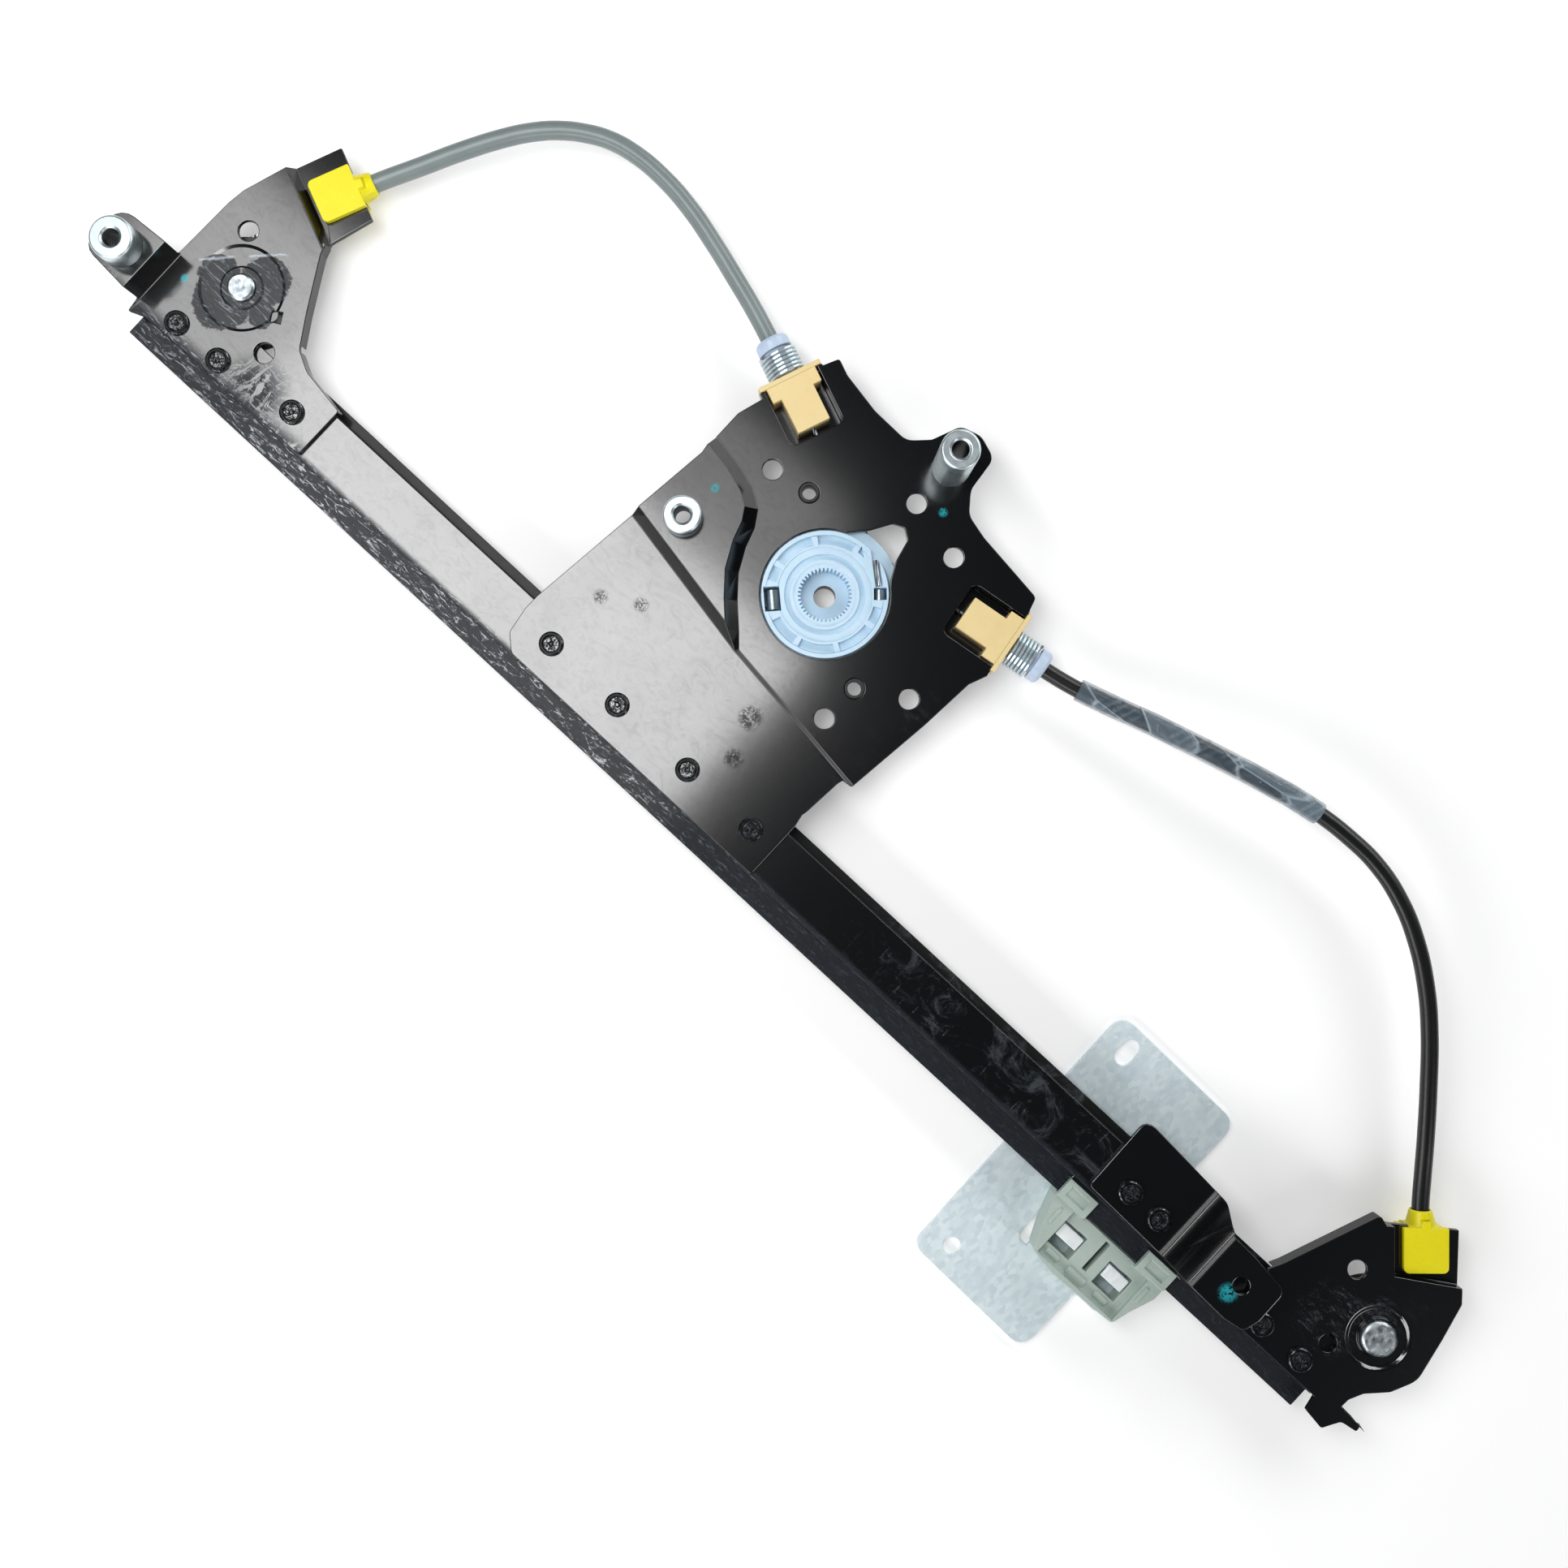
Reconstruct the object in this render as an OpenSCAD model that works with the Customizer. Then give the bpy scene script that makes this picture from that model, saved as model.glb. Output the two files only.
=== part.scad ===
// Cable window regulator with a single guide rail, for one car door, in millimetres.
// X runs along the rail towards its lower end in the door.
// Y runs from the slider side of the rail towards the motor side.
// Z points at the side with the fixing nuts. The origin is on the cable drum's axis,
// and z = 0 is the rail web's nut-side face.

/* [Rail] */
// Sheet thickness of the rail
rail_t = 1.5; // [1.2:0.1:2]
// Upper end of the rail
rail_top_x = -225.5; // [-240:0.5:-200]
// Lower end of the rail
rail_low_x = 291.5; // [270:0.5:310]
// Outer edge of the slider flange
flange_edge_y = -91; // [-96:0.5:-88]
// Nut-side face of the slider flange
flange_z = -4; // [-6:0.1:-3]
// Slider flange side of the web
web_out_y = -83.6; // [-86:0.1:-82]
// Motor side of the web
web_in_y = -65.2; // [-70:0.1:-62]
// Height of the rail's side wall
wall_h = 8.5; // [6:0.5:12]
// Width of the lip on the side wall
lip_w = 4.7; // [3:0.1:7]

/* [Brackets] */
// Sheet thickness of the brackets and the motor plate
sheet_t = 1.8; // [1.5:0.1:2.5]
// Top face of the raised nut tab and of the threaded foot
raised_z = 13.8; // [10:0.1:18]
// Top face of the recessed conduit pads
pad_z = -2.2; // [-4:0.1:-1]
// Depth of the bent rims on the brackets
rim_h = 4.5; // [2:0.5:7]

/* [Motor plate] */
// Top face of the middle field
field_z = 6.3; // [4:0.1:9]
// Top face of the drum field
drum_field_z = 0; // [-3:0.1:1]
// Top face of the outlet pockets
pocket_z = -8.4; // [-10:0.1:-6]
// Radius of the drum opening
opening_r = 21.2; // [20.9:0.1:23]

/* [Rivets and nuts] */
// Radius of a clinch rivet shank
rivet_r = 2.4; // [2:0.1:3]
// Radius of a clinch rivet head
rivet_head_r = 4; // [3:0.1:5]
// Radius of the spigot that holds a nut in its sheet
spigot_r = 4.2; // [3.5:0.1:5]
// Radius of the mount nut bores
nut_bore_r = 2.6; // [2:0.05:3.5]
// Height of the tall outer nut above its sheet
tall_nut_h = 28; // [20:1:36]

/* [Pulleys and cables] */
// Radius of the lift cable
cable_r = 0.75; // [0.6:0.05:1]
// Radius of the cable's middle line round a pulley
pulley_pitch_r = 16.4; // [12:0.1:20]
// Distance of the pulley axes
pulley_span = 500; // [400:1:600]
// Radius of a pulley pin
pin_r = 4; // [3:0.1:5]
// Height of the cables at the pulleys
cable_z = -5.2; // [-7:0.1:-4]
// Radius of the upper conduit
upper_conduit_r = 3; // [2.5:0.05:3.5]
// Radius of the lower conduit
lower_conduit_r = 2.75; // [2.5:0.05:3.5]
// Radius of the bore through both conduits
conduit_bore_r = 1.3; // [1.2:0.05:1.6]
// Wall of the clear film sleeve
film_t = 0.7; // [0.3:0.1:1.2]

/* [Drum] */
// Radius of the cable's middle line on the drum
drum_pitch_r = 21; // [18:0.1:24]
// Radius of the drum's raised face
drum_face_r = 20.7; // [18:0.1:21]
// Radius of the drum's flanges
drum_flange_r = 24.3; // [22:0.1:25]
// Root radius of the motor spline
spline_r = 8.8; // [7:0.1:10]
// Radius of the hole through the drum's middle
drum_hole_r = 3.65; // [3:0.05:5]
// Radius of the bearing post
post_r = 6.2; // [5:0.1:7]

/* [Outlets] */
// Length of an outlet block
block_len = 18.8; // [15:0.1:24]
// Length of a tension spring
spring_len = 9.5; // [9:0.1:14]
// Length of a conduit cap's collar
cap_len = 4; // [3:0.1:6]

/* [Carrier] */
// Thickness of the lift plate
plate_t = 2; // [1.5:0.1:3]
// Nut-side face of the lift plate
plate_z = -13; // [-14:0.1:-12]
// Middle of the slider shoe at rest
shoe_x = 211.2; // [150:0.1:230]

/* [Fits] */
// Clearance round a fastener or a seated piece
seat_gap = 0.05; // [0.03:0.01:0.15]
// Radial clearance of a turning fit
run_gap = 0.05; // [0.02:0.01:0.1]
// Clearance of the sliding shoe and of the moving cable
slide_gap = 0.35; // [0.3:0.05:0.5]
// Clearance between the drum's flanges and the cup
cup_gap = 0.7; // [0.4:0.05:1]

/* [Hidden] */
$fn = 48;
cut = 60;

steel_black = [0.07, 0.075, 0.085];
zinc = [0.78, 0.83, 0.86];
yellow = [0.86, 0.83, 0.05];
beige = [0.85, 0.78, 0.56];
nylon = [0.74, 0.85, 0.94];

// Pulley axes and the cable's straight line along the rail
upper_axis = [-205.5, -55.4];
lower_axis = [upper_axis.x + pulley_span, upper_axis.y];
cable_y = upper_axis.y - pulley_pitch_r;
web_top = 0;
// The lower end and the carrier move with the lower pulley
span_shift = pulley_span - 500;
rail_end_x = rail_low_x + span_shift;
pin_hole_r = pin_r + seat_gap;
rivet_hole_r = rivet_r + seat_gap;
spigot_hole_r = spigot_r + seat_gap;
pulley_h = 6;
pulley_back = cable_z - pulley_h / 2;

// Where each conduit leaves its yellow end, and the cable's direction from the pulley to it
upper_exit = [-199.6, -0.2];
lower_exit = lower_axis + [-15.4, 41];
upper_span = norm(upper_exit - upper_axis);
lower_span = norm(lower_exit - lower_axis);
upper_heading = atan2(upper_exit.y - upper_axis.y, upper_exit.x - upper_axis.x)
  - asin(pulley_pitch_r / upper_span);
lower_heading = atan2(lower_exit.y - lower_axis.y, lower_exit.x - lower_axis.x)
  + asin(pulley_pitch_r / lower_span);
upper_run = sqrt(upper_span * upper_span - pulley_pitch_r * pulley_pitch_r);
lower_run = sqrt(lower_span * lower_span - pulley_pitch_r * pulley_pitch_r);
upper_leave = upper_axis + pulley_pitch_r * [-sin(upper_heading), cos(upper_heading)];
lower_leave = lower_axis + pulley_pitch_r * [sin(lower_heading), -cos(lower_heading)];
upper_dir = [cos(upper_heading), sin(upper_heading)];
lower_dir = [cos(lower_heading), sin(lower_heading)];

// Yellow conduit ends: distances along the cable from the pulley's tangent point
end_len = 14.7;
end_w = 14.7;
end_core_w = 10;
end_back = -10.5;
upper_end_at = 32.6;
lower_end_at = 20.2;
nozzle_len = 5;

// Cable outlets of the drum: directions, heights and the block positions along them
upper_out_angle = 159;
lower_out_angle = 8.3;
upper_out_z = -4.6;
lower_out_z = -6.4;
upper_block_at = 50.5;
lower_block_at = 40.8;
upper_out = [cos(upper_out_angle), sin(upper_out_angle)];
lower_out = [cos(lower_out_angle), sin(lower_out_angle)];
upper_touch = drum_pitch_r * [sin(upper_out_angle), -cos(upper_out_angle)];
lower_touch = drum_pitch_r * [-sin(lower_out_angle), cos(lower_out_angle)];
lead_start = 9;
upper_cap_end = upper_block_at + block_len + spring_len + cap_len;
lower_cap_end = lower_block_at + block_len + spring_len + cap_len;
block_bore_r = cable_r + slide_gap;

// Share of the lower pulley's shift that a point of the lower conduit takes
function with_span(x) = x + span_shift * (x - 82) / 191.5;

// Conduit routes between the yellow ends and the caps
upper_route = [
  for (d = [-7, 0]) [upper_exit.x + d * upper_dir.x, upper_exit.y + d * upper_dir.y, cable_z],
  [-192.5, 13, -4.4], [-185, 26.5, -3], [-177, 39, -1.6], [-171.5, 46, -0.8], [-165.5, 52, -0.4],
  [-158.5, 57, 0], [-151, 60.8, 0], [-142, 63, 0], [-130, 63.6, -0.3], [-117.5, 62.4, -1],
  [-104, 59.5, -2.2], [-92, 56.3, -3.4], [-80.5, 53, -4.2],
  for (d = [0, -6]) [upper_touch.x + (upper_cap_end + d) * upper_out.x,
    upper_touch.y + (upper_cap_end + d) * upper_out.y, upper_out_z]];
lower_route = [
  for (d = [-6, 0]) [lower_touch.x + (lower_cap_end + d) * lower_out.x,
    lower_touch.y + (lower_cap_end + d) * lower_out.y, lower_out_z],
  for (p = [[82, 34, -6], [94.5, 37.8, -5], [107, 41.8, -3.6], [125, 46.8, -1.6], [141, 51, -0.4],
    [154.5, 54.3, 0], [166, 56.4, 0], [178, 57.4, 0], [191, 57, 0], [204.5, 53.6, 0],
    [217, 47.6, 0], [229.5, 39, -0.3], [240.3, 29.3, -0.8], [253, 15.7, -1.8], [263.8, 3.6, -3.2],
    [272.4, -6.3, -4.7]]) [with_span(p.x), p.y, p.z],
  for (d = [0, -7]) [lower_exit.x + d * lower_dir.x, lower_exit.y + d * lower_dir.y, cable_z]];

// Drum heights
groove_pitch = 1.8;
drum_top = 0;
front_flange_z = -2.5;
barrel_top = -3.4;
barrel_bottom = -11.2;
rear_flange_z = -12.4;
cup_floor_z = -13;
cup_back = plate_z - plate_t;
cup_r = drum_flange_r + cup_gap;
cup_wall = 1.6;
cup_top = drum_field_z - sheet_t - seat_gap;
ear_holes = [[-26.1, 20.7], [27.8, -16]];
ear_hole_r = 3.3;

// Fasteners and fixing holes
upper_rivets = [[-213.1, -78], [-195.1, -77.8], [-166.2, -73.9]];
plate_rivets = [[-53.9, -72], [-24.9, -72], [6, -72], [34.1, -72.3]];
mount_rivets = [for (x = [203.8, 216.5]) [x + span_shift, -75.2]];
lower_rivets = [for (x = [263.7, 280.6]) [x + span_shift, -77.6]];
all_rivets = concat(upper_rivets, plate_rivets, mount_rivets, lower_rivets);
motor_holes = [[-39.9, 18.2], [1.9, 41.8], [22.6, 37.1], [27.2, -29.8], [43.1, -6.5]];
motor_hole_r = 3.3;
upper_nut_at = [-236.6, -71.4];
middle_nut_at = [-49.5, -13.5];
outer_nut_at = [2.2, 57.9];
foot_hole_at = [245.4, -72.6];

// Carrier positions
plate_mid_x = 193.1;
shoe_half = 23.4;
tab_x = [201.2, 221.3];
nipple_r = 1.95;

function unit(v) = v / norm(v);

// A point of the lower end, where it lies with the lower pulley at its normal place
function home(p) = [p.x - span_shift, p.y];

module lower_end() {
  translate([span_shift, 0, 0]) children();
}

// One rounded corner of an outline as arc points, or the corner itself without a radius
function arc_corner(p, c, n, r, steps) = r <= 0 ? [c] :
  let (a = unit(p - c), b = unit(n - c), half = acos(a * b) / 2,
    m = c + unit(a + b) * r / sin(half), s = c + a * r / tan(half), e = c + b * r / tan(half),
    a0 = atan2(s.y - m.y, s.x - m.x), a1 = atan2(e.y - m.y, e.x - m.x),
    d = ((a1 - a0 + 540) % 360) - 180)
  [for (i = [0:steps]) m + r * [cos(a0 + d * i / steps), sin(a0 + d * i / steps)]];

// An outline whose points are [x, y, corner radius]
function rounded(pts, steps = 4) = let (k = len(pts)) [for (i = [0:k - 1])
  each arc_corner([pts[(i + k - 1) % k].x, pts[(i + k - 1) % k].y], [pts[i].x, pts[i].y],
    [pts[(i + 1) % k].x, pts[(i + 1) % k].y], pts[i].z, steps)];

// Running direction of a route at one of its points
function route_dir(r, i) = unit(r[min(i + 1, len(r) - 1)] - r[max(i - 1, 0)]);

// Ring of points round a route's point
function ring(c, t, radius, sides) =
  let (side = unit(cross(t, [0, 0, 1])), up = cross(side, t))
  [for (k = [0:sides - 1]) c + radius * (cos(360 * (k + 0.5) / sides) * side
    + sin(360 * (k + 0.5) / sides) * up)];

// Closed tube swept along the points of a route
module swept(route, radius, sides) {
  n = len(route);
  pts = [for (i = [0:n - 1]) each ring(route[i], route_dir(route, i), radius, sides)];
  walls = [for (i = [0:n - 2]) for (k = [0:sides - 1]) let (k1 = (k + 1) % sides)
    [i * sides + k, i * sides + k1, (i + 1) * sides + k1, (i + 1) * sides + k]];
  polyhedron(points = pts, faces = concat([[for (k = [sides - 1:-1:0]) k]], walls,
    [[for (k = [0:sides - 1]) (n - 1) * sides + k]]), convexity = 8);
}

// A route with both ends moved outwards along its end directions
function stretched(r, d) = let (n = len(r)) [r[0] - d * route_dir(r, 0),
  for (i = [1:n - 2]) r[i], r[n - 1] + d * route_dir(r, n - 1)];

// Flat sheet or block with the outline pts, from z0 up to z1
module slab(pts, z0, z1) {
  translate([0, 0, z0]) linear_extrude(z1 - z0) polygon(pts);
}

// Profile of [distance, height] points run along a fold line through the point at
module fold(profile, at, turn, reach = 60) {
  translate([at.x, at.y, 0]) rotate([0, 0, turn]) rotate([90, 0, 0])
    translate([0, 0, -reach]) linear_extrude(2 * reach) polygon(profile);
}

module post(at, r, z0, z1) {
  translate([at.x, at.y, z0]) cylinder(r = r, h = z1 - z0);
}

// Rod of radius r between two distances along the outlet line, measured from the drum
module along(touch, angle, z, from, to, r) {
  translate([touch.x, touch.y, z]) rotate([0, 0, angle]) translate([from, 0, 0])
    rotate([0, 90, 0]) cylinder(r = r, h = to - from);
}

// Rail: slider flange, step, web, side wall and lip as one pressed profile
module guide_rail() {
  t = rail_t;
  color(steel_black) difference() {
    translate([rail_top_x, 0, 0]) rotate([90, 0, 90]) linear_extrude(rail_end_x - rail_top_x)
      polygon([[flange_edge_y, flange_z], [web_out_y, flange_z], [web_out_y, web_top],
        [web_in_y, web_top], [web_in_y, t - wall_h], [web_in_y + lip_w - t, t - wall_h],
        [web_in_y + lip_w - t, -wall_h], [web_in_y - t, -wall_h], [web_in_y - t, -t],
        [web_out_y + t, -t], [web_out_y + t, flange_z - t], [flange_edge_y, flange_z - t]]);
    // the side wall and its lip stop short of both pulleys
    translate([rail_top_x - 5, web_in_y - t - 1, -cut - t]) cube([46.5, 20, cut]);
    translate([rail_end_x - 18.5, web_in_y - t - 1, -cut - t]) cube([30, 20, cut]);
    for (p = all_rivets) post(p, rivet_hole_r, -cut, cut);
  }
}

// Open slot in a pad that takes the middle of a yellow conduit end
module end_slot(leave, heading, at) {
  translate([leave.x, leave.y, 0]) rotate([0, 0, heading])
    translate([at + 1.6, -end_core_w / 2 - seat_gap, -20]) cube([40, end_core_w + 2 * seat_gap, 19]);
}

upper_outline = rounded([[-155.6, -82.6, 1], [-155.4, -63.4, 1], [-171.5, -61, 6], [-178.2, -57.4, 4],
  [-184.6, -47, 0], [-191.4, -34.9, 3], [-194.2, -29.8, 2], [-195.6, -25.2, 2], [-191, -10.3, 0.5],
  [-214.5, 0.2, 0.5], [-221.6, -17, 0], [-226.5, -31.8, 4], [-227.4, -38, 3], [-228.2, -60.6, 0],
  [-228.2, -81, 0], [-227.6, -85.8, 0.4], [-222, -83.4, 0]]);

// Upper bracket: main sheet, recessed conduit pad, bent rim, raised nut tab
module upper_bracket() {
  step_at = upper_leave + 28 * upper_dir;
  pad_back = pad_z - sheet_t;
  color(steel_black) difference() {
    union() {
      intersection() {
        slab(upper_outline, -20, 20);
        fold([[-120, 0], [0, 0], [2.4, pad_back], [40, pad_back], [40, pad_z], [3.4, pad_z],
          [1, sheet_t], [-120, sheet_t]], step_at, upper_heading, 80);
      }
      // bent rim on the motor side, from the pad to the rail
      difference() {
        intersection() {
          slab(upper_outline, -rim_h, sheet_t - 0.3);
          slab([[-196.2, -26.5], [-150, -26.5], [-150, -64.3], [-172, -64.3], [-198, -34]], -30, 30);
        }
        translate([-1.7, -0.9, -30]) linear_extrude(30) polygon(upper_outline);
      }
      // raised tab with its riser and rims
      difference() {
        slab(rounded([[-246.4, -79.4, 5], [-227.4, -80.6, 0], [-227.4, -61, 0], [-245.2, -62.2, 6]]),
          -0, raised_z);
        translate([-1.8, 0, -1]) slab([[-226.2, -90], [-226.2, -50], [-280, -50], [-280, -90]],
          0, raised_z - rim_h);
        slab(rounded([[-244.8, -77.8, 4], [-229.2, -79, 0.2], [-229.2, -62.6, 0.2], [-243.8, -63.8, 4]]),
          -1, raised_z - sheet_t);
      }
    }
    for (p = upper_rivets) post(p, rivet_hole_r, -cut, cut);
    post(upper_axis, pin_hole_r, -cut, cut);
    post(upper_nut_at, spigot_hole_r, 5, cut);
    post([-216.4, -40.4], 3.3, -cut, cut);
    post([-185.9, -65.9], 3.35, -cut, cut);
    // shallow round recess about the pulley pin
    translate([upper_axis.x, upper_axis.y, sheet_t]) rotate_extrude()
      polygon([[6.5, 1], [6.5, 0], [7.2, -0.35], [13.2, -0.35], [14.2, 0], [14.2, 1]]);
    // square key hole
    translate([-191, -54.8, 0]) rotate([0, 0, 30]) cube([3.7, 3.7, 20], center = true);
    end_slot(upper_leave, upper_heading, upper_end_at);
  }
}

lower_outline = rounded([[253.4, -83.2, 0], [253.4, -63.1, 1], [255.8, -58.4, 2], [268.4, -25.7, 1],
  [272, -26.8, 0], [292.1, -11.6, 0.5], [307.3, -29.2, 2], [310.4, -42, 8], [313.4, -57, 8],
  [309.4, -65.6, 5], [303.4, -71.8, 4], [301.2, -76.4, 2], [301, -79.8, 0.5], [309.8, -80.3, 0.8],
  [310, -82.4, 0.8], [304.2, -83.4, 2], [300.8, -89.3, 1], [293, -88.3, 0.5], [292, -83.2, 0]]);

// Outline of the recessed pad: its inner corner, moved out by grow, and its two long sides
function lower_pad(grow) = let (c = [285, -37.1], a = [cos(32.6), sin(32.6)],
  b = [cos(132.6), sin(132.6)], s = c - grow / sin(100) * (a + b))
  [s, s + 50 * a, s + 50 * (a + b), s + 50 * b];

// Lower bracket: main sheet, recessed conduit pad with two walls, bent rim, hook tab
module lower_bracket() {
  pad_back = pad_z - sheet_t;
  color(steel_black) lower_end() difference() {
    union() {
      difference() {
        slab(lower_outline, 0, sheet_t);
        slab(lower_pad(0), -1, 10);
      }
      intersection() {
        slab(lower_outline, pad_back, sheet_t);
        difference() {
          slab(lower_pad(sheet_t), pad_back - 1, 10);
          slab(lower_pad(0), pad_z, 20);
        }
      }
      // bent rim on the side towards the motor
      difference() {
        intersection() {
          slab(lower_outline, -rim_h, sheet_t - 0.3);
          slab([[250, -61.5], [260, -61.5], [276, -32], [272, -20], [250, -20]], -30, 30);
        }
        translate([1.8, -0.7, -30]) linear_extrude(30) polygon(lower_outline);
      }
      // turned-back tongue under the hook
      slab([[301.6, -79.9], [309.4, -80.3], [309.6, -82.2], [303, -82.8]], -3, 1);
    }
    for (p = lower_rivets) post(home(p), rivet_hole_r, -cut, cut);
    post(home(lower_axis), pin_hole_r, -cut, cut);
    post([274.6, -43.7], 3.1, -cut, cut);
    post([283.8, -67.6], 2.9, -cut, cut);
    // round recess about the pulley pin
    translate([home(lower_axis).x, lower_axis.y, sheet_t]) rotate_extrude()
      polygon([[6.6, 1], [6.6, -1], [9.4, -1], [10.6, 0], [10.6, 1]]);
    end_slot(home(lower_leave), lower_heading, lower_end_at);
  }
}

// Boundary between the middle field and the drum field, as a curved wall
wall_line = [[-66, 12.2], [-58.7, 11.2], [-49.7, 9.7], [-41.5, 7.2], [-36.2, 4], [-33.3, -0.6],
  [-31.2, -7.1], [-27, -15.3], [-21, -22.3], [-14, -29.2], [-9, -34.2], [6, -36], [26, -38.4],
  [56, -42.2]];
function wall_side(i, d) = let (a = wall_line[max(i - 1, 0)],
  b = wall_line[min(i + 1, len(wall_line) - 1)], t = unit(b - a)) wall_line[i] + d * [-t.y, t.x];

// Everything below the top face of the strip, the middle field and the drum field
module under_plate() {
  n = len(wall_line);
  high = [for (i = [0:n - 1]) wall_side(i, -2)];
  low = [for (i = [0:n - 1]) wall_side(i, 2)];
  intersection() {
    fold([[-80, -16], [0, -16], [140, -16], [140, field_z], [3.2, field_z], [0, sheet_t],
      [-80, sheet_t]], [-36.4, -28.45], 79.7, 120);
    union() {
      translate([-90, -100, -16]) cube([170, 190, 16 + drum_field_z]);
      slab(concat([for (i = [0:n - 1]) wall_side(i, -1.8)], [[60, -100], [-90, -100], [-90, 12]]),
        -16, field_z);
      polyhedron(points = [for (i = [0:n - 1]) each [[high[i].x, high[i].y, field_z],
          [low[i].x, low[i].y, drum_field_z - 0.05], [low[i].x, low[i].y, -15.5],
          [high[i].x, high[i].y, -15.5]]],
        faces = concat([[3, 2, 1, 0]], [for (i = [0:n - 2]) for (k = [0:3])
          let (a = 4 * i + k, b = 4 * i + (k + 1) % 4)
          each [[a, b, a + 4], [b, b + 4, a + 4]]],
          [[4 * n - 4, 4 * n - 3, 4 * n - 2, 4 * n - 1]]), convexity = 6);
    }
    union() {
      translate([-90, -100, -16]) cube([81.5, 190, 16 + field_z]);
      translate([-90, -100, -16]) cube([170, 190, 16 + sheet_t]);
    }
  }
}

plate_outline = rounded([[-61.5, -83, 3], [-66.6, -78.4, 3], [-68, -69.2, 3], [-67.9, -63.6, 0],
  [-63.1, -23.6, 0], [-59.5, 6.1, 2], [-60.6, 14, 3], [-60.6, 24, 3], [-58.6, 30.6, 0], [-51, 54, 0],
  [-48.4, 59.4, 1], [-42.8, 57.2, 4], [-28.4, 54.8, 10], [-14.5, 54.6, 6], [-8.6, 60.4, 4],
  [-4.6, 70, 4], [2.4, 72.2, 6], [10.4, 69.6, 4], [11.8, 57, 6], [17, 50.6, 6], [25.4, 48.6, 4],
  [51, 45.8, 2], [53.4, 38, 0], [56.6, 16, 0], [54.2, 10.2, 2], [52.7, -9, 0], [48.9, -40.2, 1],
  [45.2, -40.6, 0.5], [44.8, -42.1, 0], [43.7, -54.9, 0], [43.2, -57.7, 1], [44, -62, 1],
  [44, -83, 1]]);

// Recess for one outlet block, in the block's own frame: outer size, then inner size
module pocket_outline(x0, grow, x1) {
  polygon(rounded([[x0 - grow, -9.5 - grow, 2.6 + grow / 2], [x1, -9.5 - grow, 0],
    [x1, 9.5 + grow, 0], [x0 - grow, 9.5 + grow, 2.6 + grow / 2]]));
}

module at_outlet(touch, angle) {
  translate([touch.x, touch.y, 0]) rotate([0, 0, angle]) children();
}

// Motor plate: rail strip, middle field, drum field, two outlet pockets
module motor_plate() {
  color(steel_black) difference() {
    union() {
      difference() {
        intersection() {
          slab(plate_outline, -30, 30);
          difference() {
            under_plate();
            translate([0, 0, -sheet_t]) under_plate();
            translate([-100, -110, -40]) cube([200, 200, 40 + drum_field_z - sheet_t - 0.01]);
          }
        }
        at_outlet(upper_touch, upper_out_angle) translate([0, 0, -20]) linear_extrude(40)
          pocket_outline(upper_block_at - 3, 1.5, 90);
        at_outlet(lower_touch, lower_out_angle) translate([0, 0, -20]) linear_extrude(40)
          pocket_outline(lower_block_at - 3, 1.5, 90);
      }
      at_outlet(upper_touch, upper_out_angle) outlet_pocket(upper_block_at, upper_out_z);
      at_outlet(lower_touch, lower_out_angle) outlet_pocket(lower_block_at, lower_out_z);
    }
    for (p = plate_rivets) post(p, rivet_hole_r, -cut, cut);
    for (p = motor_holes) post(p, motor_hole_r, -cut, cut);
    for (p = ear_holes) post(p, ear_hole_r, -cut, cut);
    post(middle_nut_at, spigot_hole_r, -cut, cut);
    post(outer_nut_at, spigot_hole_r, -cut, cut);
    post([0, 0], opening_r, -cut, cut);
    // window beside the drum where the cables run off
    slab(rounded([[-12, 14, 0], [-9, 18.8, 0], [-3.3, 25.2, 3], [0.6, 31.6, 2], [4.3, 33.4, 1.5],
      [7.8, 31, 1.5], [9.5, 23.7, 4], [12.4, 18, 3], [17, 12, 0]]), -cut, cut);
  }
}

// Floor and three walls of one outlet pocket
module outlet_pocket(block_at, z) {
  x0 = block_at - 3;
  x1 = block_at + block_len - 1.6 - seat_gap;
  difference() {
    translate([0, 0, pocket_z - sheet_t]) linear_extrude(drum_field_z - pocket_z + sheet_t)
      pocket_outline(x0, sheet_t, x1);
    translate([0, 0, pocket_z]) linear_extrude(20) pocket_outline(x0, 0, x1 + 5);
    translate([x0 - 10, 0, z]) rotate([0, 90, 0]) cylinder(r = block_bore_r + 0.4, h = 14);
  }
}

// Threaded foot bracket riveted to the rail
module lower_mount_bracket() {
  s = sheet_t;
  color(steel_black) lower_end() difference() {
    union() {
      intersection() {
        slab(rounded([[192.4, -82.6, 1.5], [191.8, -54, 3.5], [227.7, -56.2, 2.5], [231, -60, 2],
          [233.6, -62.6, 1], [243, -63, 1], [257, -64.6, 3], [257.2, -77, 1], [255.6, -82.6, 2.5],
          [248.2, -83.9, 1]]), -5, 30);
        fold([[190, 0], [226.6, 0], [233.6, raised_z - s], [260, raised_z - s], [260, raised_z],
          [232.4, raised_z], [225.4, s], [190, s]], [0, 0], 0, 100);
      }
      // collar of the threaded hole
      post(foot_hole_at, 4.4, raised_z - s - 2.2, raised_z - 0.5);
    }
    for (p = mount_rivets) post(home(p), rivet_hole_r, -cut, cut);
    post(foot_hole_at, nut_bore_r + 0.1, -cut, cut);
  }
}

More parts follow.
